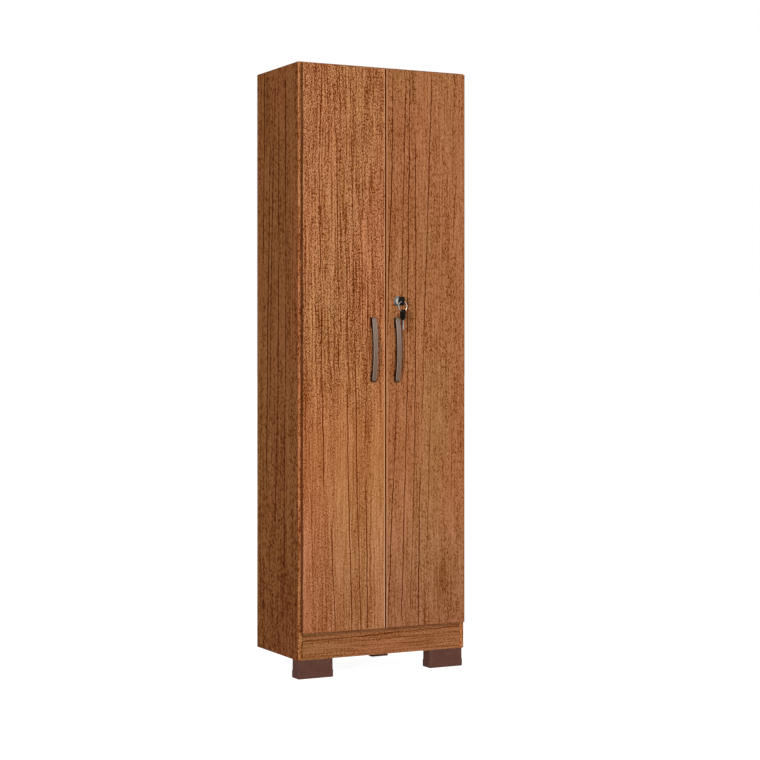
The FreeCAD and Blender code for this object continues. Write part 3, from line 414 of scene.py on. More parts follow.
sideLines = (    # places are depths behind the middle, since the grain is seen on the side
    (-27, -27, 1600, 1230, 0.6), (-28, -30, 1230, 1050, 0.35), (-28, -27, 1000, 760, 0.45),
    (-21, -19, 740, 300, 0.45), (17, 18, 1480, 1170, 0.5), (20, 22, 1100, 800, 0.55),
    (23, 42, 760, 420, 0.45), (114, 116, 1620, 1380, 0.7), (117, 122, 1350, 1120, 0.4),
    (77, 86, 1400, 1080, 0.45), (87, 101, 1080, 540, 0.65), (41, 63, 1600, 1180, 0.35),
    (64, 80, 1150, 650, 0.4), (137, 137, 1600, 1480, 0.3), (-74, -68, 1250, 650, 0.2),
)
plinthLines = (    # places are heights, each at the right end and at the left end
    (110, 104, 240, -60, 0.35), (104, 99, 60, -245, 0.3), (93, 90, 180, -120, 0.25),
    (76, 80, 120, -200, 0.22),
)

# patches: middle, height, half width, half height, tone
# painted edge shading: the door's left (0) or right (1) edge, tone of its painted shade line, tone of
# its painted highlight
doorBoards = {
    "left": {
        "seed": 2.0,
        "lines": leftDoorLines,
        "patches": ((-150, 590, 60, 330, -0.1), (-125, 620, 300, 420, 0.13),
                    (-128, 1230, 30, 300, 0.14), (-125, 1400, 400, 900, -0.19),
                    (-125, 60, 400, 420, 0.17)),
        "strength": (0.52, 1.75),
        "tint": (1.005, 1.045, 1.06),
        "rims": ((1, 0.1, -1.1),),
    },
    "right": {
        "seed": 31.0,
        "lines": rightDoorLines,
        "patches": ((84, 1180, 26, 320, 0.1), (15, 1260, 30, 340, 0.08),
                    (172, 250, 34, 110, 0.12), (125, 60, 400, 420, 0.15)),
        "strength": (0.46, 0.57),
        "tint": (0.905, 0.935, 0.945),
        "rims": ((0, 0.55, -1.3), (1, 0.7, 0.1)),
    },
}
shadedSideBoard = {
    "lines": sideLines,
    "patches": ((0, 60, 700, 500, 0.16),),
    "strength": (0.62, 0.5),
    # painted shade: the side boards are tinted darker than the doors, for the lesser light on the
    # cupboard's sides
    "tint": (0.8, 0.775, 0.68),
    "coarse": 2.2,
    "gloss": 0.02,
}
plinthBoard = {
    "lines": plinthLines,
    "strength": (0.6, 0.6),
    "tint": (0.845, 0.86, 0.87),
}
shelfBoards = ("top_panel", "bottom_panel", "fixed_shelf", "shelf_lower", "shelf_middle", "shelf_upper")
# axes across, through and along the grain
upright, sideOn, lengthwise, flat = 'XYZ', 'YXZ', 'ZYX', 'YZX'


def doorWood(side):
    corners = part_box(f"door_{side}")
    look = dict(doorBoards[side])
    look["rims"] = [(corners[end].x, edgeShadeTone, edgeHighlightTone) for end, edgeShadeTone, edgeHighlightTone in look["rims"]]
    return woodMaterial(f"doorWood_{side}", upright, **look)


boards = {
    "door_left": doorWood("left"),
    "door_right": doorWood("right"),
    "side_panel_left": woodMaterial("sideWoodShadedLeft", sideOn, 57.0, **shadedSideBoard),
    "side_panel_right": woodMaterial("sideWoodShadedRight", sideOn, 83.0, **shadedSideBoard),
    "plinth_board": woodMaterial("plinthWood", lengthwise, 11.0, **plinthBoard),
    "divider_panel": woodMaterial("dividerWood", sideOn, 19.0),
}
boards.update(dict.fromkeys(shelfBoards, woodMaterial("shelfWood", flat, 43.0)))
boards["rear_rail"] = woodMaterial("railWood", lengthwise, 71.0)
print("board materials made")

# Plastics, metals and hardboard
plastic = {
    "foot": linear(94, 62, 52), "footShade": linear(85, 55, 46),
    "pullSide": linear(22, 11, 6), "pullSideWorn": linear(32, 18, 10),
    "key": linear(12, 13, 14), "keyWorn": linear(24, 25, 27),
    "strip": linear(92, 58, 38), "stripWorn": linear(108, 70, 46),
    "mottle": (38, 38, 38),              # cells a metre
    "roughBelow": 0.06,
    "roughAbove": 0.08,
    "skinStrength": 0.12,
    "skin": 0.2 * mm,
}


def plasticMaterial(name, low, high, rough, grainSize, seed, specular=0.4):
    # moulded plastic: fine leathery skin with a little mottling
    material, tree, shader = newMaterial(name, **{'Specular IOR Level': specular})
    spot = objectPlace(tree)
    mottle = noise(tree, spot, plastic["mottle"], seed, 3.0, 0.6)
    skin = noise(tree, spot, (grainSize,) * 3, seed + 2, 2.0, 0.6)
    colour = mixed(tree, between(tree, mottle, 0.3, 0.7), plastic[low], plastic[high])
    coloured(tree, shader, colour, between(tree, mottle, 0.2, 0.8, rough - plastic["roughBelow"],
                                           rough + plastic["roughAbove"]))
    raised(tree, shader, skin, plastic["skinStrength"], plastic["skin"])
    return material


metal = {
    "stains": (60, 60, 60),              # cells a metre
    "roughShares": (0.7, 1.4),
    "scratch": 0.05 * mm,
}


def metalMaterial(name, low, high, rough, brushed, seed, strength=0.08, metallic=1.0):
    # brushed lines run along the axis with the fewest cells
    material, tree, shader = newMaterial(name, Metallic=metallic)
    spot = objectPlace(tree)
    lines = noise(tree, spot, brushed, seed, 3.0, 0.7)
    stains = noise(tree, spot, metal["stains"], seed + 4, 2.0)
    colour = mixed(tree, between(tree, stains, 0.35, 0.7), linear(*low), linear(*high))
    smooth, dull = (rough * share for share in metal["roughShares"])
    coloured(tree, shader, colour, between(tree, lines, 0.25, 0.75, smooth, dull))
    raised(tree, shader, lines, strength, metal["scratch"])
    return material


pullLacquer = {
    "high": linear(127, 101, 88),        # colour at the top and at the bottom
    "low": linear(104, 70, 46),
    "groove": 2.2 * mm,                  # from the middle to the painted shade line of a groove
    "grooveShadeFade": (0.7 * mm, 1.5 * mm),
    "grooveShadeShare": 0.75,
    "grooveShadeTone": linear(88, 76, 62),
    "ridgeHighlightFade": (1.4 * mm, 2.2 * mm),
    "ridgeHighlightShare": 0.34,
    "ridgeHighlightTone": linear(170, 150, 134),
    "hairs": (900, 900, 12),
    "hairShare": 0.35,
    "hairTone": linear(98, 78, 62),
    "rough": (0.32, 0.5),
    "specular": 0.35,
}


def pullFrontMaterial(side):
    # bronze lacquer that darkens towards the bottom, with painted shade in the grooves, a painted
    # highlight on the ridges beside them, and fine lengthwise lines
    material, tree, shader = newMaterial(f"pullBronze_{side}",
                                         **{'Specular IOR Level': pullLacquer["specular"]})
    spot = objectPlace(tree)
    parts = addNode(tree, 'ShaderNodeSeparateXYZ', {0: spot}).outputs
    lines = noise(tree, spot, pullLacquer["hairs"], 5.0, 2.0, 0.6)
    low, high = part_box(f"pull_{side}")
    fall = between(tree, parts['Z'], low.z, high.z)
    colour = mixed(tree, fall, pullLacquer["low"], pullLacquer["high"])
    away = maths(tree, 'ABSOLUTE', maths(tree, 'SUBTRACT', parts['X'], (low.x + high.x) / 2))
    fromGroove = maths(tree, 'ABSOLUTE', maths(tree, 'SUBTRACT', away, pullLacquer["groove"]))
    # painted shade in the grooves
    groove = between(tree, fromGroove, *pullLacquer["grooveShadeFade"], pullLacquer["grooveShadeShare"], 0.0)
    colour = mixed(tree, groove, colour, pullLacquer["grooveShadeTone"])
    # painted highlight on the ridges beside the grooves
    ridge = between(tree, fromGroove, *pullLacquer["ridgeHighlightFade"], 0.0, pullLacquer["ridgeHighlightShare"])
    colour = mixed(tree, ridge, colour, pullLacquer["ridgeHighlightTone"])
    hairs = between(tree, lines, 0.3, 0.75, 0.0, pullLacquer["hairShare"])
    colour = mixed(tree, hairs, colour, pullLacquer["hairTone"])
    coloured(tree, shader, colour, between(tree, lines, 0.2, 0.8, *pullLacquer["rough"]))
    raised(tree, shader, lines, 0.25, 0.1 * mm)
    return material


backSheet = {
    "dark": linear(124, 84, 52),
    "pale": linear(146, 102, 66),
    "fibre": linear(88, 56, 32),
    "fibreShare": 0.6,
    "fibres": (420, 420, 300),           # cells a metre
    "clouds": (9, 9, 7),
    "rough": (0.62, 0.85),
    "specular": 0.15,
}


def hardboardMaterial():
    material, tree, shader = newMaterial("hardboardBack",
                                         **{'Specular IOR Level': backSheet["specular"]})
    spot = objectPlace(tree)
    fibres = noise(tree, spot, backSheet["fibres"], 4.0, 4.0, 0.7)
    clouds = noise(tree, spot, backSheet["clouds"], 9.0, 3.0)
    colour = mixed(tree, between(tree, clouds, 0.3, 0.7), backSheet["dark"], backSheet["pale"])
    single = between(tree, fibres, 0.45, 0.8, 0.0, backSheet["fibreShare"])
    colour = mixed(tree, single, colour, backSheet["fibre"])
    coloured(tree, shader, colour, between(tree, fibres, 0.2, 0.8, *backSheet["rough"]))
    raised(tree, shader, fibres, 0.4, 0.15 * mm)
    return material


rimChrome = {
    "dark": linear(84, 106, 118),
    "pale": linear(118, 136, 146),
    # painted highlight: the bright cream of the inner ring
    "inner": linear(222, 212, 196),
    "innerEdge": (8.6 * mm, 9.6 * mm),   # radii between which the painted highlight ring gives way to the outer chrome
    "metallic": (1.0, 0.4),              # outside and inside
    "rough": (0.24, 0.38),
    "stains": (300, 300, 300),           # cells a metre
}


def rimMaterial():
    # dark chrome outside and a bright cream ring inside, of low metallic, that is a painted highlight
    material, tree, shader = newMaterial("lockRimChrome", Metallic=1.0)
    spot = objectPlace(tree)
    low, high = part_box("lock_housing")
    parts = addNode(tree, 'ShaderNodeSeparateXYZ', {0: spot})
    away = [maths(tree, 'SUBTRACT', parts.outputs[axis], (low[axis] + high[axis]) / 2)
            for axis in (0, 2)]
    squares = [maths(tree, 'MULTIPLY', value, value) for value in away]
    reach = maths(tree, 'SQRT', maths(tree, 'ADD', *squares))
    inner = between(tree, reach, *rimChrome["innerEdge"], 1.0, 0.0)
    stains = noise(tree, spot, rimChrome["stains"], 14.0, 3.0, 0.7)
    outer = mixed(tree, between(tree, stains, 0.35, 0.7), rimChrome["dark"], rimChrome["pale"])
    coloured(tree, shader, mixed(tree, inner, outer, rimChrome["inner"]),
             between(tree, stains, 0.25, 0.75, *rimChrome["rough"]))
    tree.links.new(between(tree, inner, 0.0, 1.0, *rimChrome["metallic"]), shader.inputs['Metallic'])
    raised(tree, shader, stains, 0.03, 0.05 * mm)
    return material


pullFronts = {side: pullFrontMaterial(side) for side in ("left", "right")}
rimFinish = rimMaterial()
ringSteel = metalMaterial("ringSteel", (226, 216, 204), (244, 236, 226), 0.3,
                          (300, 300, 300), 22.0, 0.03)
finishes = {
    "foot_plastic": plasticMaterial("footPlastic", "footShade", "foot", 0.62, 1500, 3.0, 0.06),
    "pull_plastic": plasticMaterial("pullSidePlastic", "pullSide", "pullSideWorn",
                                    0.5, 1600, 6.0, 0.06),
    "key_plastic": plasticMaterial("keyPlastic", "key", "keyWorn", 0.34, 1800, 8.0, 0.07),
    "strip_plastic": plasticMaterial("stripPlastic", "strip", "stripWorn", 0.5, 1200, 10.0),
    "key_steel": metalMaterial("keySteel", (150, 146, 150), (184, 180, 184), 0.3,
                               (60, 200, 1500), 12.0),
    "lock_chrome": metalMaterial("lockChrome", (140, 150, 160), (174, 182, 190), 0.3,
                                 (300, 300, 300), 14.0, 0.02),
    "lock_plug_metal": metalMaterial("lockPlugMetal", (214, 208, 198), (232, 228, 220), 0.42,
                                     (400, 60, 400), 16.0, 0.08, 0.35),
    "hinge_steel": metalMaterial("hingeNickel", (176, 174, 168), (206, 204, 198), 0.24,
                                 (90, 90, 1100), 18.0),
    "screw_zinc": metalMaterial("screwZinc", (168, 170, 174), (206, 208, 208), 0.34,
                                (500, 500, 500), 20.0),
    "dowel_wood": woodMaterial("dowelBeech", flat, 97.0),
    "hardboard": hardboardMaterial(),
}
print("plastic and metal materials made")


def dress():
    # every CAD node gets its own board material or its slot's finish
    for name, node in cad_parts.items():
        slotName = node.data.materials[0].name.split(".")[0]
        chosen = boards.get(name) or finishes[slotName]
        for place in node.material_slots:
            place.link = 'OBJECT'
            place.material = chosen


dress()
print("nodes dressed")

# Pulls: an arched bar with ribbed front and dark sides
pullBar = {
    "loops": 26,                   # cross cuts along the bar
    "endReach": 9.5 * mm,          # how far the ends stand out
    "bar": 9 * mm,                 # thickness at the middle
    "finger": 127 * mm,            # length of the opening at the door
    "shoulder": 12 * mm,           # length in which it reaches its full depth
    "shoulderCuts": 5,
    "grooves": (-1.9 * mm, 1.9 * mm),    # from the middle
    "grooveHalf": 1.1 * mm,
    "grooveDepth": 0.7 * mm,
    "grooveStop": 4 * mm,          # how far from the ends they stop
    "edgeRound": 1.5 * mm,
    "roundSteps": 4,
    "sharp": 50.0,                 # degrees between faces from which an edge is rounded
}


def archReach(size, inward, height):
    # how far the bar's arc, or one that lies inward of it, stands out from the door at a height
    rise = size.y - pullBar["endReach"]
    radius = (size.z * size.z / 4 + rise * rise) / (2 * rise)
    return size.y - radius + math.sqrt((radius - inward) ** 2 - height * height)


def fingerDepth(size, height):
    # depth of the opening behind the bar, which starts in a soft shoulder
    into = (pullBar["finger"] / 2 - abs(height)) / pullBar["shoulder"]
    share = min(max(into, 0.0), 1.0)
    return archReach(size, pullBar["bar"], height) * share * share * (3 - 2 * share)


def pullHeights(half):
    evenly = [half * (2 * step / pullBar["loops"] - 1) for step in range(1, pullBar["loops"])]
    start = pullBar["finger"] / 2
    kept = [height for height in evenly if not 0 < start - abs(height) < pullBar["shoulder"]]
    for step in range(pullBar["shoulderCuts"] + 1):
        height = start - pullBar["shoulder"] * step / pullBar["shoulderCuts"]
        kept += [-height, height]
    return kept


def makePull():
    low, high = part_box("pull_left")
    centre, size = (low + high) / 2, high - low
    clearSelection()
    bpy.ops.mesh.primitive_cube_add(size=1, location=centre, scale=size)
    bar = bpy.context.object
    settle(bar)
    editing(bar)
    half = size.z / 2
    heights = pullHeights(half)
    for height in heights:
        bpy.ops.mesh.select_all(action='SELECT')
        bpy.ops.mesh.bisect(plane_co=(0, 0, centre.z + height), plane_no=(0, 0, 1))
    for middle in pullBar["grooves"]:
        for side in (-1, 0, 1):
            bpy.ops.mesh.select_all(action='SELECT')
            bpy.ops.mesh.bisect(plane_co=(centre.x + middle + side * pullBar["grooveHalf"], 0, 0),
                                plane_no=(1, 0, 0))
    for height in heights + [-half, half]:
        here = centre.z + height
        picked(bar, "verts", lambda v: abs(v.co.z - here) < tiny and v.co.y < centre.y)
        bpy.ops.transform.translate(value=(0, size.y - archReach(size, 0.0, height), 0))
        lift = fingerDepth(size, height)
        if lift:
            picked(bar, "verts", lambda v: abs(v.co.z - here) < tiny and v.co.y > high.y - tiny)
            bpy.ops.transform.translate(value=(0, -lift, 0))
    leaveEditing()
    editing(bar, 'EDGE')
    sharp = math.radians(pullBar["sharp"])
    picked(bar, "edges", lambda e: len(e.link_faces) == 2 and e.calc_face_angle() > sharp
           and min(v.co.y for v in e.verts) < high.y - tiny)
    bpy.ops.mesh.bevel(offset=pullBar["edgeRound"], segments=pullBar["roundSteps"], affect='EDGES')
    bpy.ops.mesh.select_mode(type='VERT')
    for middle in pullBar["grooves"]:
        picked(bar, "verts", lambda v: abs(v.co.x - centre.x - middle) < tiny and v.normal.y < -0.5
               and abs(v.co.z - centre.z) < half - pullBar["grooveStop"])
        bpy.ops.transform.translate(value=(0, pullBar["grooveDepth"], 0))
    leaveEditing()
    bar.data.materials.append(finishes["pull_plastic"])
    bar.data.materials.append(pullFronts["left"])
    editing(bar, 'FACE')
    picked(bar, "faces", lambda f: f.normal.y < -0.5 and f.calc_center_median().y < centre.y)
    bar.active_material_index = 1
    bpy.ops.object.material_slot_assign()
    leaveEditing()
    return bar


def placePulls():
    left = makePull()
    right = copied(left)
    right.location.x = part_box("pull_right")[0].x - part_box("pull_left")[0].x
    right.data.materials[1] = pullFronts["right"]
    for piece, side in ((left, "left"), (right, "right")):
        finished(piece, f"pull_bar_{side}", f"door_{side}_body", None, 40)
        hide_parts(f"pull_{side}")


placePulls()
print("pulls made")

# Lock front: stepped chrome rim on its barrel
lockRim = {
    "sides": 64,
    "edgeRound": 1.3 * mm,
    "bowl": 9.2 * mm,              # radius where the rim drops to the inner ring
    "bowlSlope": 0.5 * mm,
    "bowlDepth": 0.9 * mm,
    "innerRing": 8.0 * mm,
    "ringSlope": 0.4 * mm,
    "ringRise": 0.7 * mm,
    "plugBore": 6.08 * mm,
    "boreLip": 0.4 * mm,
    "boreDrop": 0.3 * mm,
    "barrel": 9.0 * mm,            # radius of the part inside the door
    "roundSteps": 5,
}


def faceTowards(way, place):
    # test for faces that look along Y one way and lie at that place
    return lambda f: f.normal.y * way > 0.9 and abs(f.calc_center_median().y - place) < tiny


def makeLockRim():
    low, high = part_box("lock_housing")
    centre = (low + high) / 2
    radius = (high.x - low.x) / 2
    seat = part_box("door_right")[0].y
    clearSelection()
    bpy.ops.mesh.primitive_cylinder_add(vertices=lockRim["sides"], radius=radius, depth=seat - low.y,
                                        location=(centre.x, (low.y + seat) / 2, centre.z),
                                        rotation=(math.pi / 2, 0, 0))
    rim = bpy.context.object
    settle(rim)
    editing(rim, 'FACE')
    # from the rim inwards: the next radius, and how far the face there moves back
    steps = ((lockRim["bowl"], 0.0),
             (lockRim["bowl"] - lockRim["bowlSlope"], lockRim["bowlDepth"]),
             (lockRim["innerRing"], 0.0),
             (lockRim["innerRing"] - lockRim["ringSlope"], -lockRim["ringRise"]),
             (lockRim["plugBore"] + lockRim["boreLip"], 0.0),
             (lockRim["plugBore"], lockRim["boreDrop"]))
    reach = radius
    picked(rim, "faces", faceTowards(-1, low.y))
    for target, push in steps:
        bpy.ops.mesh.inset(thickness=reach - target)
        if push:
            bpy.ops.transform.translate(value=(0, push, 0))
        reach = target
    bpy.ops.mesh.delete(type='ONLY_FACE')
    picked(rim, "faces", faceTowards(1, seat))
    bpy.ops.mesh.inset(thickness=radius - lockRim["barrel"])
    bpy.ops.mesh.extrude_region_move(TRANSFORM_OT_translate={"value": (0, high.y - seat, 0)})
    bpy.ops.mesh.inset(thickness=lockRim["barrel"] - lockRim["plugBore"])
    bpy.ops.mesh.delete(type='ONLY_FACE')
    bpy.ops.mesh.select_mode(type='EDGE')
    picked(rim, "edges", lambda e: len(e.link_faces) == 1)
    bpy.ops.mesh.bridge_edge_loops()
    picked(rim, "edges", lambda e: all(
        abs((v.co - Vector((centre.x, v.co.y, centre.z))).length - radius) < tiny
        and abs(v.co.y - low.y) < tiny for v in e.verts))
    bpy.ops.mesh.bevel(offset=lockRim["edgeRound"], segments=lockRim["roundSteps"], affect='EDGES')
    bpy.ops.mesh.select_all(action='SELECT')
    bpy.ops.mesh.normals_make_consistent(inside=False)
    leaveEditing()
    finished(rim, "lock_rim", "door_right_body", rimFinish, 30)
    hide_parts("lock_housing")


makeLockRim()
print("lock rim made")

# Keys: ribbed bows on a double ring
keyBow = {
    "length": 24 * mm,
    "corner": 2.6 * mm,
    "cornerSteps": 6,
    "hole": 3 * mm,                # its radius
    "holeSides": 32,
    "holeFromEnd": 5.2 * mm,
    "ribs": 4,                     # on each face
    "ribRise": 0.7 * mm,
    "ribWidth": 1.5 * mm,
    "ribSpan": 15 * mm,
    "ribRound": 0.45,              # share of its width
    "firstRib": 11.2 * mm,         # from the end with the hole
    "ribStep": 2.9 * mm,
    "edgeRound": 0.8 * mm,
    "sharp": 60.0,                 # degrees between faces from which an edge is rounded
    "neckWidth": 11 * mm,
    "neckShare": 0.86,             # of the bow's thickness
    "neckInside": 2 * mm,
}


def makeKeyHead():
    # drawn in the lock's place: the bow's end looks at -Y and its faces at -X and +X
    low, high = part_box("key_head")
    centre = (low + high) / 2
    thick = high.x - low.x
    clearSelection()
    bpy.ops.mesh.primitive_cube_add(size=1, location=(centre.x, low.y + keyBow["length"] / 2, centre.z),
                                    scale=(thick, keyBow["length"], high.z - low.z))
    bow = bpy.context.object
    settle(bow)
    editing(bow, 'EDGE')
    picked(bow, "edges", lambda e: abs(e.verts[0].co.x - e.verts[1].co.x) > thick / 2)
    bpy.ops.mesh.bevel(offset=keyBow["corner"], segments=keyBow["cornerSteps"], affect='EDGES')
    leaveEditing()
    clearSelection()
    bpy.ops.mesh.primitive_cylinder_add(vertices=keyBow["holeSides"], radius=keyBow["hole"],
                                        location=(centre.x, low.y + keyBow["holeFromEnd"], centre.z),
                                        rotation=(0, math.pi / 2, 0), depth=2 * thick)
    cutWith(bow, bpy.context.object)
    applied(bow, 'BEVEL', width=keyBow["edgeRound"], segments=3, limit_method='ANGLE',
            angle_limit=math.radians(keyBow["sharp"]))
    parts = [bow]
    for face in (low.x, high.x):
        for number in range(keyBow["ribs"]):
            clearSelection()
            place = low.y + keyBow["firstRib"] + number * keyBow["ribStep"]
            bpy.ops.mesh.primitive_cube_add(size=1, location=(face, place, centre.z),
                                            scale=(2 * keyBow["ribRise"], keyBow["ribWidth"],
                                                   keyBow["ribSpan"]))
            rib = bpy.context.object
            settle(rib)
            applied(rib, 'BEVEL', width=keyBow["ribRound"] * keyBow["ribWidth"], segments=3)
            parts.append(rib)
    clearSelection()
    neckLength = high.y - low.y - keyBow["length"] + keyBow["neckInside"]
    bpy.ops.mesh.primitive_cube_add(size=1, location=(centre.x, high.y - neckLength / 2, centre.z),
                                    scale=(thick * keyBow["neckShare"], neckLength,
                                           keyBow["neckWidth"]))
    neck = bpy.context.object
    settle(neck)
    applied(neck, 'BEVEL', width=keyBow["edgeRound"], segments=3)
    parts.append(neck)
    return joined(parts)


def placeKeys():
    bow = makeKeyHead()
    low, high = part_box("key_head")
    hole = Vector(((low.x + high.x) / 2, low.y + keyBow["holeFromEnd"], (low.z + high.z) / 2))
    spare = copied(bow)
    hungLow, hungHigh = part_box("spare_key_head")
    hungHole = Vector(((hungLow.x + hungHigh.x) / 2, (hungLow.y + hungHigh.y) / 2,
                       hungHigh.z - keyBow["holeFromEnd"]))
    editing(spare)
    bpy.ops.mesh.select_all(action='SELECT')
    bpy.ops.transform.translate(value=hungHole - hole)
    bpy.ops.transform.rotate(value=math.pi / 2, orient_axis='X', center_override=hungHole)
    leaveEditing()
    finished(bow, "key_bow", "key_body", finishes["key_plastic"])
    finished(spare, "spare_key_bow", "spare_key_body", finishes["key_plastic"])
    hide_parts("key_head")
    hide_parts("spare_key_head")


placeKeys()

splitRing = {
    "turns": 2,
    "wire": 0.55 * mm,
    "wireSides": 10,
    "steps": 72,                   # round each turn
    "turned": 7.0,                 # degrees, as it hangs a little askew
}


def makeRing():
    low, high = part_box("key_ring")
    centre = (low + high) / 2
    outer = (high.z - low.z) / 2
    clearSelection()
    bpy.ops.mesh.primitive_circle_add(vertices=splitRing["wireSides"], radius=splitRing["wire"],
                                      location=(outer - splitRing["wire"], 0, 0),
                                      rotation=(math.pi / 2, 0, 0), fill_type='NOTHING')
    coil = bpy.context.object
    settle(coil)
    turns = splitRing["turns"]
    steps = splitRing["steps"] * turns
    applied(coil, 'SCREW', axis='Z', angle=2 * math.pi * turns, steps=steps, render_steps=steps,
            screw_offset=high.y - low.y - 2 * splitRing["wire"], use_merge_vertices=False)
    editing(coil, 'EDGE')
    picked(coil, "edges", lambda e: len(e.link_faces) == 1)
    bpy.ops.mesh.fill()
    bpy.ops.mesh.select_all(action='SELECT')
    bpy.ops.mesh.normals_make_consistent(inside=False)
    leaveEditing()
    coil.rotation_euler = (math.pi / 2, 0, math.radians(splitRing["turned"]))
    settle(coil)
    heights = [v.co.y for v in coil.data.vertices]
    coil.location = centre - Vector((0, (min(heights) + max(heights)) / 2, 0))
    finished(coil, "split_ring", "ring_body", ringSteel, 60)
    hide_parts("key_ring")


makeRing()
print("keys and ring made")

# Screws: pan heads with a cross recess
screwHead = {
    "sides": 20,
    "height": 1.8 * mm,
    "dome": 0.7 * mm,
    "crossLength": 3.4 * mm,
    "crossWidth": 0.75 * mm,
    "crossDepth": 1.0 * mm,
    "shank": 1.7 * mm,
    "tip": 0.15,                   # share of the shank's width
    "merge": 1e-6,                 # how near two corners of a node count as one
}


def looseSolids(name):
    # boxes of a node's separate solids, from a merged copy of its mesh
    twin = bpy.data.objects.new("looseCopy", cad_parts[name].data.copy())
    bpy.context.collection.objects.link(twin)
    editing(twin)
    bpy.ops.mesh.select_all(action='SELECT')
    bpy.ops.mesh.remove_doubles(threshold=screwHead["merge"])
    bpy.ops.mesh.separate(type='LOOSE')
    leaveEditing()
    solids = list(bpy.context.selected_objects)
    spans = []
    for solid in solids:
        spans.append([Vector([pick(v.co[axis] for v in solid.data.vertices) for axis in range(3)])
                      for pick in (min, max)])
        bpy.data.objects.remove(solid, do_unlink=True)
    return spans


def makeScrew(headRadius, length):
    # head on top at the origin, shank down
    height = screwHead["height"]
    clearSelection()
    bpy.ops.mesh.primitive_cylinder_add(vertices=screwHead["sides"], radius=headRadius, depth=height,
                                        location=(0, 0, height / 2))
    head = bpy.context.object
    settle(head)
    editing(head, 'FACE')
    picked(head, "faces", lambda f: f.normal.z < -0.9)
    bpy.ops.mesh.inset(thickness=headRadius - screwHead["shank"])
    for drop in (length - screwHead["shank"], screwHead["shank"]):
        bpy.ops.mesh.extrude_region_move(TRANSFORM_OT_translate={"value": (0, 0, -drop)})
    bpy.ops.transform.resize(value=(screwHead["tip"], screwHead["tip"], 1))
    bpy.ops.mesh.select_mode(type='EDGE')
    picked(head, "edges", lambda e: all(abs(v.co.z - height) < tiny for v in e.verts))
    bpy.ops.mesh.bevel(offset=screwHead["dome"], segments=3, affect='EDGES')
    leaveEditing()
    for turn in (0, math.pi / 2):
        clearSelection()
        bpy.ops.mesh.primitive_cube_add(size=1, location=(0, 0, height), rotation=(0, 0, turn),
                                        scale=(screwHead["crossLength"], screwHead["crossWidth"],
                                               2 * screwHead["crossDepth"]))
        cutWith(head, bpy.context.object)
    return head


def replaceScrews(name, body, axis, inwards):
    # heads look along the axis, or towards the cupboard's middle
    screws = []
    for low, high in looseSolids(name):
        size = high - low
        centre = (low + high) / 2
        side = -1 if inwards and centre[axis] >= 0 else 1
        headRadius = (size.y if axis == 0 else size.x) / 2
        screw = makeScrew(headRadius, size[axis] - screwHead["height"])
        facing = Vector((0, 0, 0))
        facing[axis] = side
        screw.rotation_euler = Vector((0, 0, 1)).rotation_difference(facing).to_euler()
        centre[axis] = (high[axis] if side > 0 else low[axis]) - side * screwHead["height"]
        screw.location = centre
        settle(screw)
        screws.append(screw)
    piece = joined(screws)
    finished(piece, name + "_crossed", body, finishes["screw_zinc"])
    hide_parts(name)


screwSets = (    # node, body, axis of the screws, whether the heads look towards the middle
    ("foot_screws", "carcass_body", 1, True),
    ("hinge_screws", "carcass_body", 0, True),
    ("keeper_screws", "carcass_body", 0, False),
    ("cup_screws_left", "door_left_body", 1, False),
    ("cup_screws_right", "door_right_body", 1, False),
    ("pull_screws_left", "door_left_body", 1, False),
    ("pull_screws_right", "door_right_body", 1, False),
    ("bolt_screws", "door_left_body", 1, False),
)
for screwSet in screwSets:
    replaceScrews(*screwSet)
print("screws made")

# Edging on the carcass's front edges
edging = {
    "thick": 0.4 * mm,
    "round": 0.25 * mm,
    "levelStrength": (0.6, 0.6),
    "levelTint": (0.84, 0.78, 0.74),
    "boards": ("side_panel_left", "side_panel_right", "top_panel", "bottom_panel", "fixed_shelf",
               "divider_panel", "shelf_lower", "shelf_middle", "shelf_upper"),
}


def makeEdging():
    uprightStrips, levelStrips = [], []
    for name in edging["boards"]:
        low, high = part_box(name)
        clearSelection()
        bpy.ops.mesh.primitive_cube_add(size=1, scale=(high.x - low.x, edging["thick"], high.z - low.z),
                                        location=((low.x + high.x) / 2, low.y - edging["thick"] / 2,
                                                  (low.z + high.z) / 2))
        strip = bpy.context.object
        settle(strip)
        editing(strip, 'EDGE')
        picked(strip, "edges", lambda e: all(v.co.y < low.y - edging["thick"] / 2 for v in e.verts))
        bpy.ops.mesh.bevel(offset=edging["round"], segments=2, affect='EDGES')
        leaveEditing()
        (uprightStrips if high.z - low.z > high.x - low.x else levelStrips).append(strip)
    finished(joined(uprightStrips), "edging_upright", "carcass_body",
             woodMaterial("edgingUpright", upright, 5.0))
    finished(joined(levelStrips), "edging_level", "carcass_body",
             woodMaterial("edgingLevel", lengthwise, 7.0, strength=edging["levelStrength"],
                          tint=edging["levelTint"]))


makeEdging()
print("edging made")

# Studio
studio = {
    "floorHalf": 60.0,
    "floorGrey": 0.42,
    "floorGlow": 0.95,             # seen by the camera and in gloss only
    "skyLight": 0.15,
    "lamps": {                     # power, degrees round to the right, above level, and across
        "studio_lamp_high": (1.6, -4.0, 30.0, 9.0),
        "studio_lamp_side": (2.05, -47.0, 6.0, 4.0),
        "studio_lamp_back": (1.7, 122.0, 25.0, 9.0),
    },
}


def seenDirectly(tree):
    # 1 for what the camera, gloss and glass see, and 0 for the light on the object
    path = addNode(tree, 'ShaderNodeLightPath').outputs
    seen = maths(tree, 'MAXIMUM', path['Is Camera Ray'], path['Is Glossy Ray'])
    return maths(tree, 'MAXIMUM', seen, path['Is Transmission Ray'])


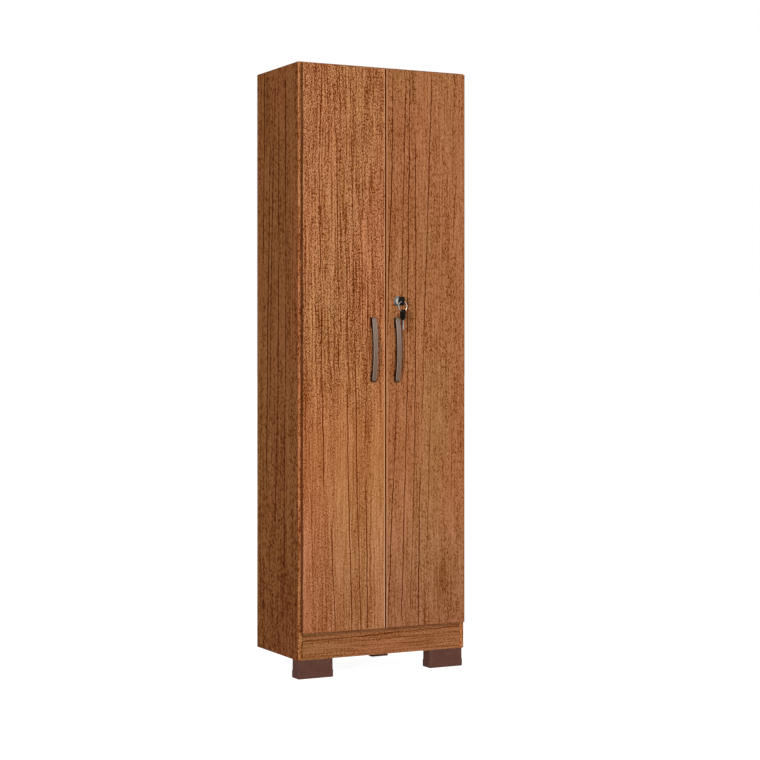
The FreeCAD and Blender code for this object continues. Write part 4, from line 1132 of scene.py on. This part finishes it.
def makeFloor():
    clearSelection()
    bpy.ops.mesh.primitive_plane_add(size=2 * studio["floorHalf"])
    floor = bpy.context.object
    floor.name = "studio_floor"
    material = bpy.data.materials.new("studioFloor")
    tree = emptyTree(material)
    grey = (studio["floorGrey"],) * 3 + (1.0,)
    cloth = addNode(tree, 'ShaderNodeBsdfDiffuse', {'Color': grey})
    strength = maths(tree, 'MULTIPLY', seenDirectly(tree), studio["floorGlow"])
    glow = addNode(tree, 'ShaderNodeEmission', {'Color': (1, 1, 1, 1), 'Strength': strength})
    both = addNode(tree, 'ShaderNodeAddShader', {0: cloth.outputs[0], 1: glow.outputs[0]})
    output = addNode(tree, 'ShaderNodeOutputMaterial')
    tree.links.new(both.outputs[0], output.inputs[0])
    floor.data.materials.append(material)


def makeLight():
    world = bpy.data.worlds.new("studioSky")
    bpy.context.scene.world = world
    tree = emptyTree(world)
    strength = between(tree, seenDirectly(tree), 0.0, 1.0, studio["skyLight"], 1.0)
    sky = addNode(tree, 'ShaderNodeBackground', {'Color': (1, 1, 1, 1), 'Strength': strength})
    output = addNode(tree, 'ShaderNodeOutputWorld')
    tree.links.new(sky.outputs[0], output.inputs[0])
    for name, (power, turn, height, softness) in studio["lamps"].items():
        tilt = (math.radians(90 - height), 0, math.radians(turn))
        bpy.ops.object.light_add(type='SUN', rotation=tilt)
        lamp = bpy.context.object
        lamp.name = name
        lamp.data.energy = power
        lamp.data.angle = math.radians(softness)


makeFloor()
makeLight()
bpy.context.scene.view_settings.view_transform = 'Standard'
print("studio made")

# Camera
viewpoint = {
    "place": (-2.290, -4.581, 0.8586),
    "turn": -27.03,                # degrees, looking a little to the right
    "lens": 88.33,
    "sensor": 36.0,
    "drop": -0.0341,               # the frame slides down while the camera stays level
}


def makeCamera():
    bpy.ops.object.camera_add(location=viewpoint["place"],
                              rotation=(math.pi / 2, 0, math.radians(viewpoint["turn"])))
    camera = bpy.context.object
    camera.name = "studio_camera"
    camera.data.lens = viewpoint["lens"]
    camera.data.sensor_width = viewpoint["sensor"]
    camera.data.shift_y = viewpoint["drop"]
    bpy.context.scene.camera = camera


makeCamera()
print("camera placed")
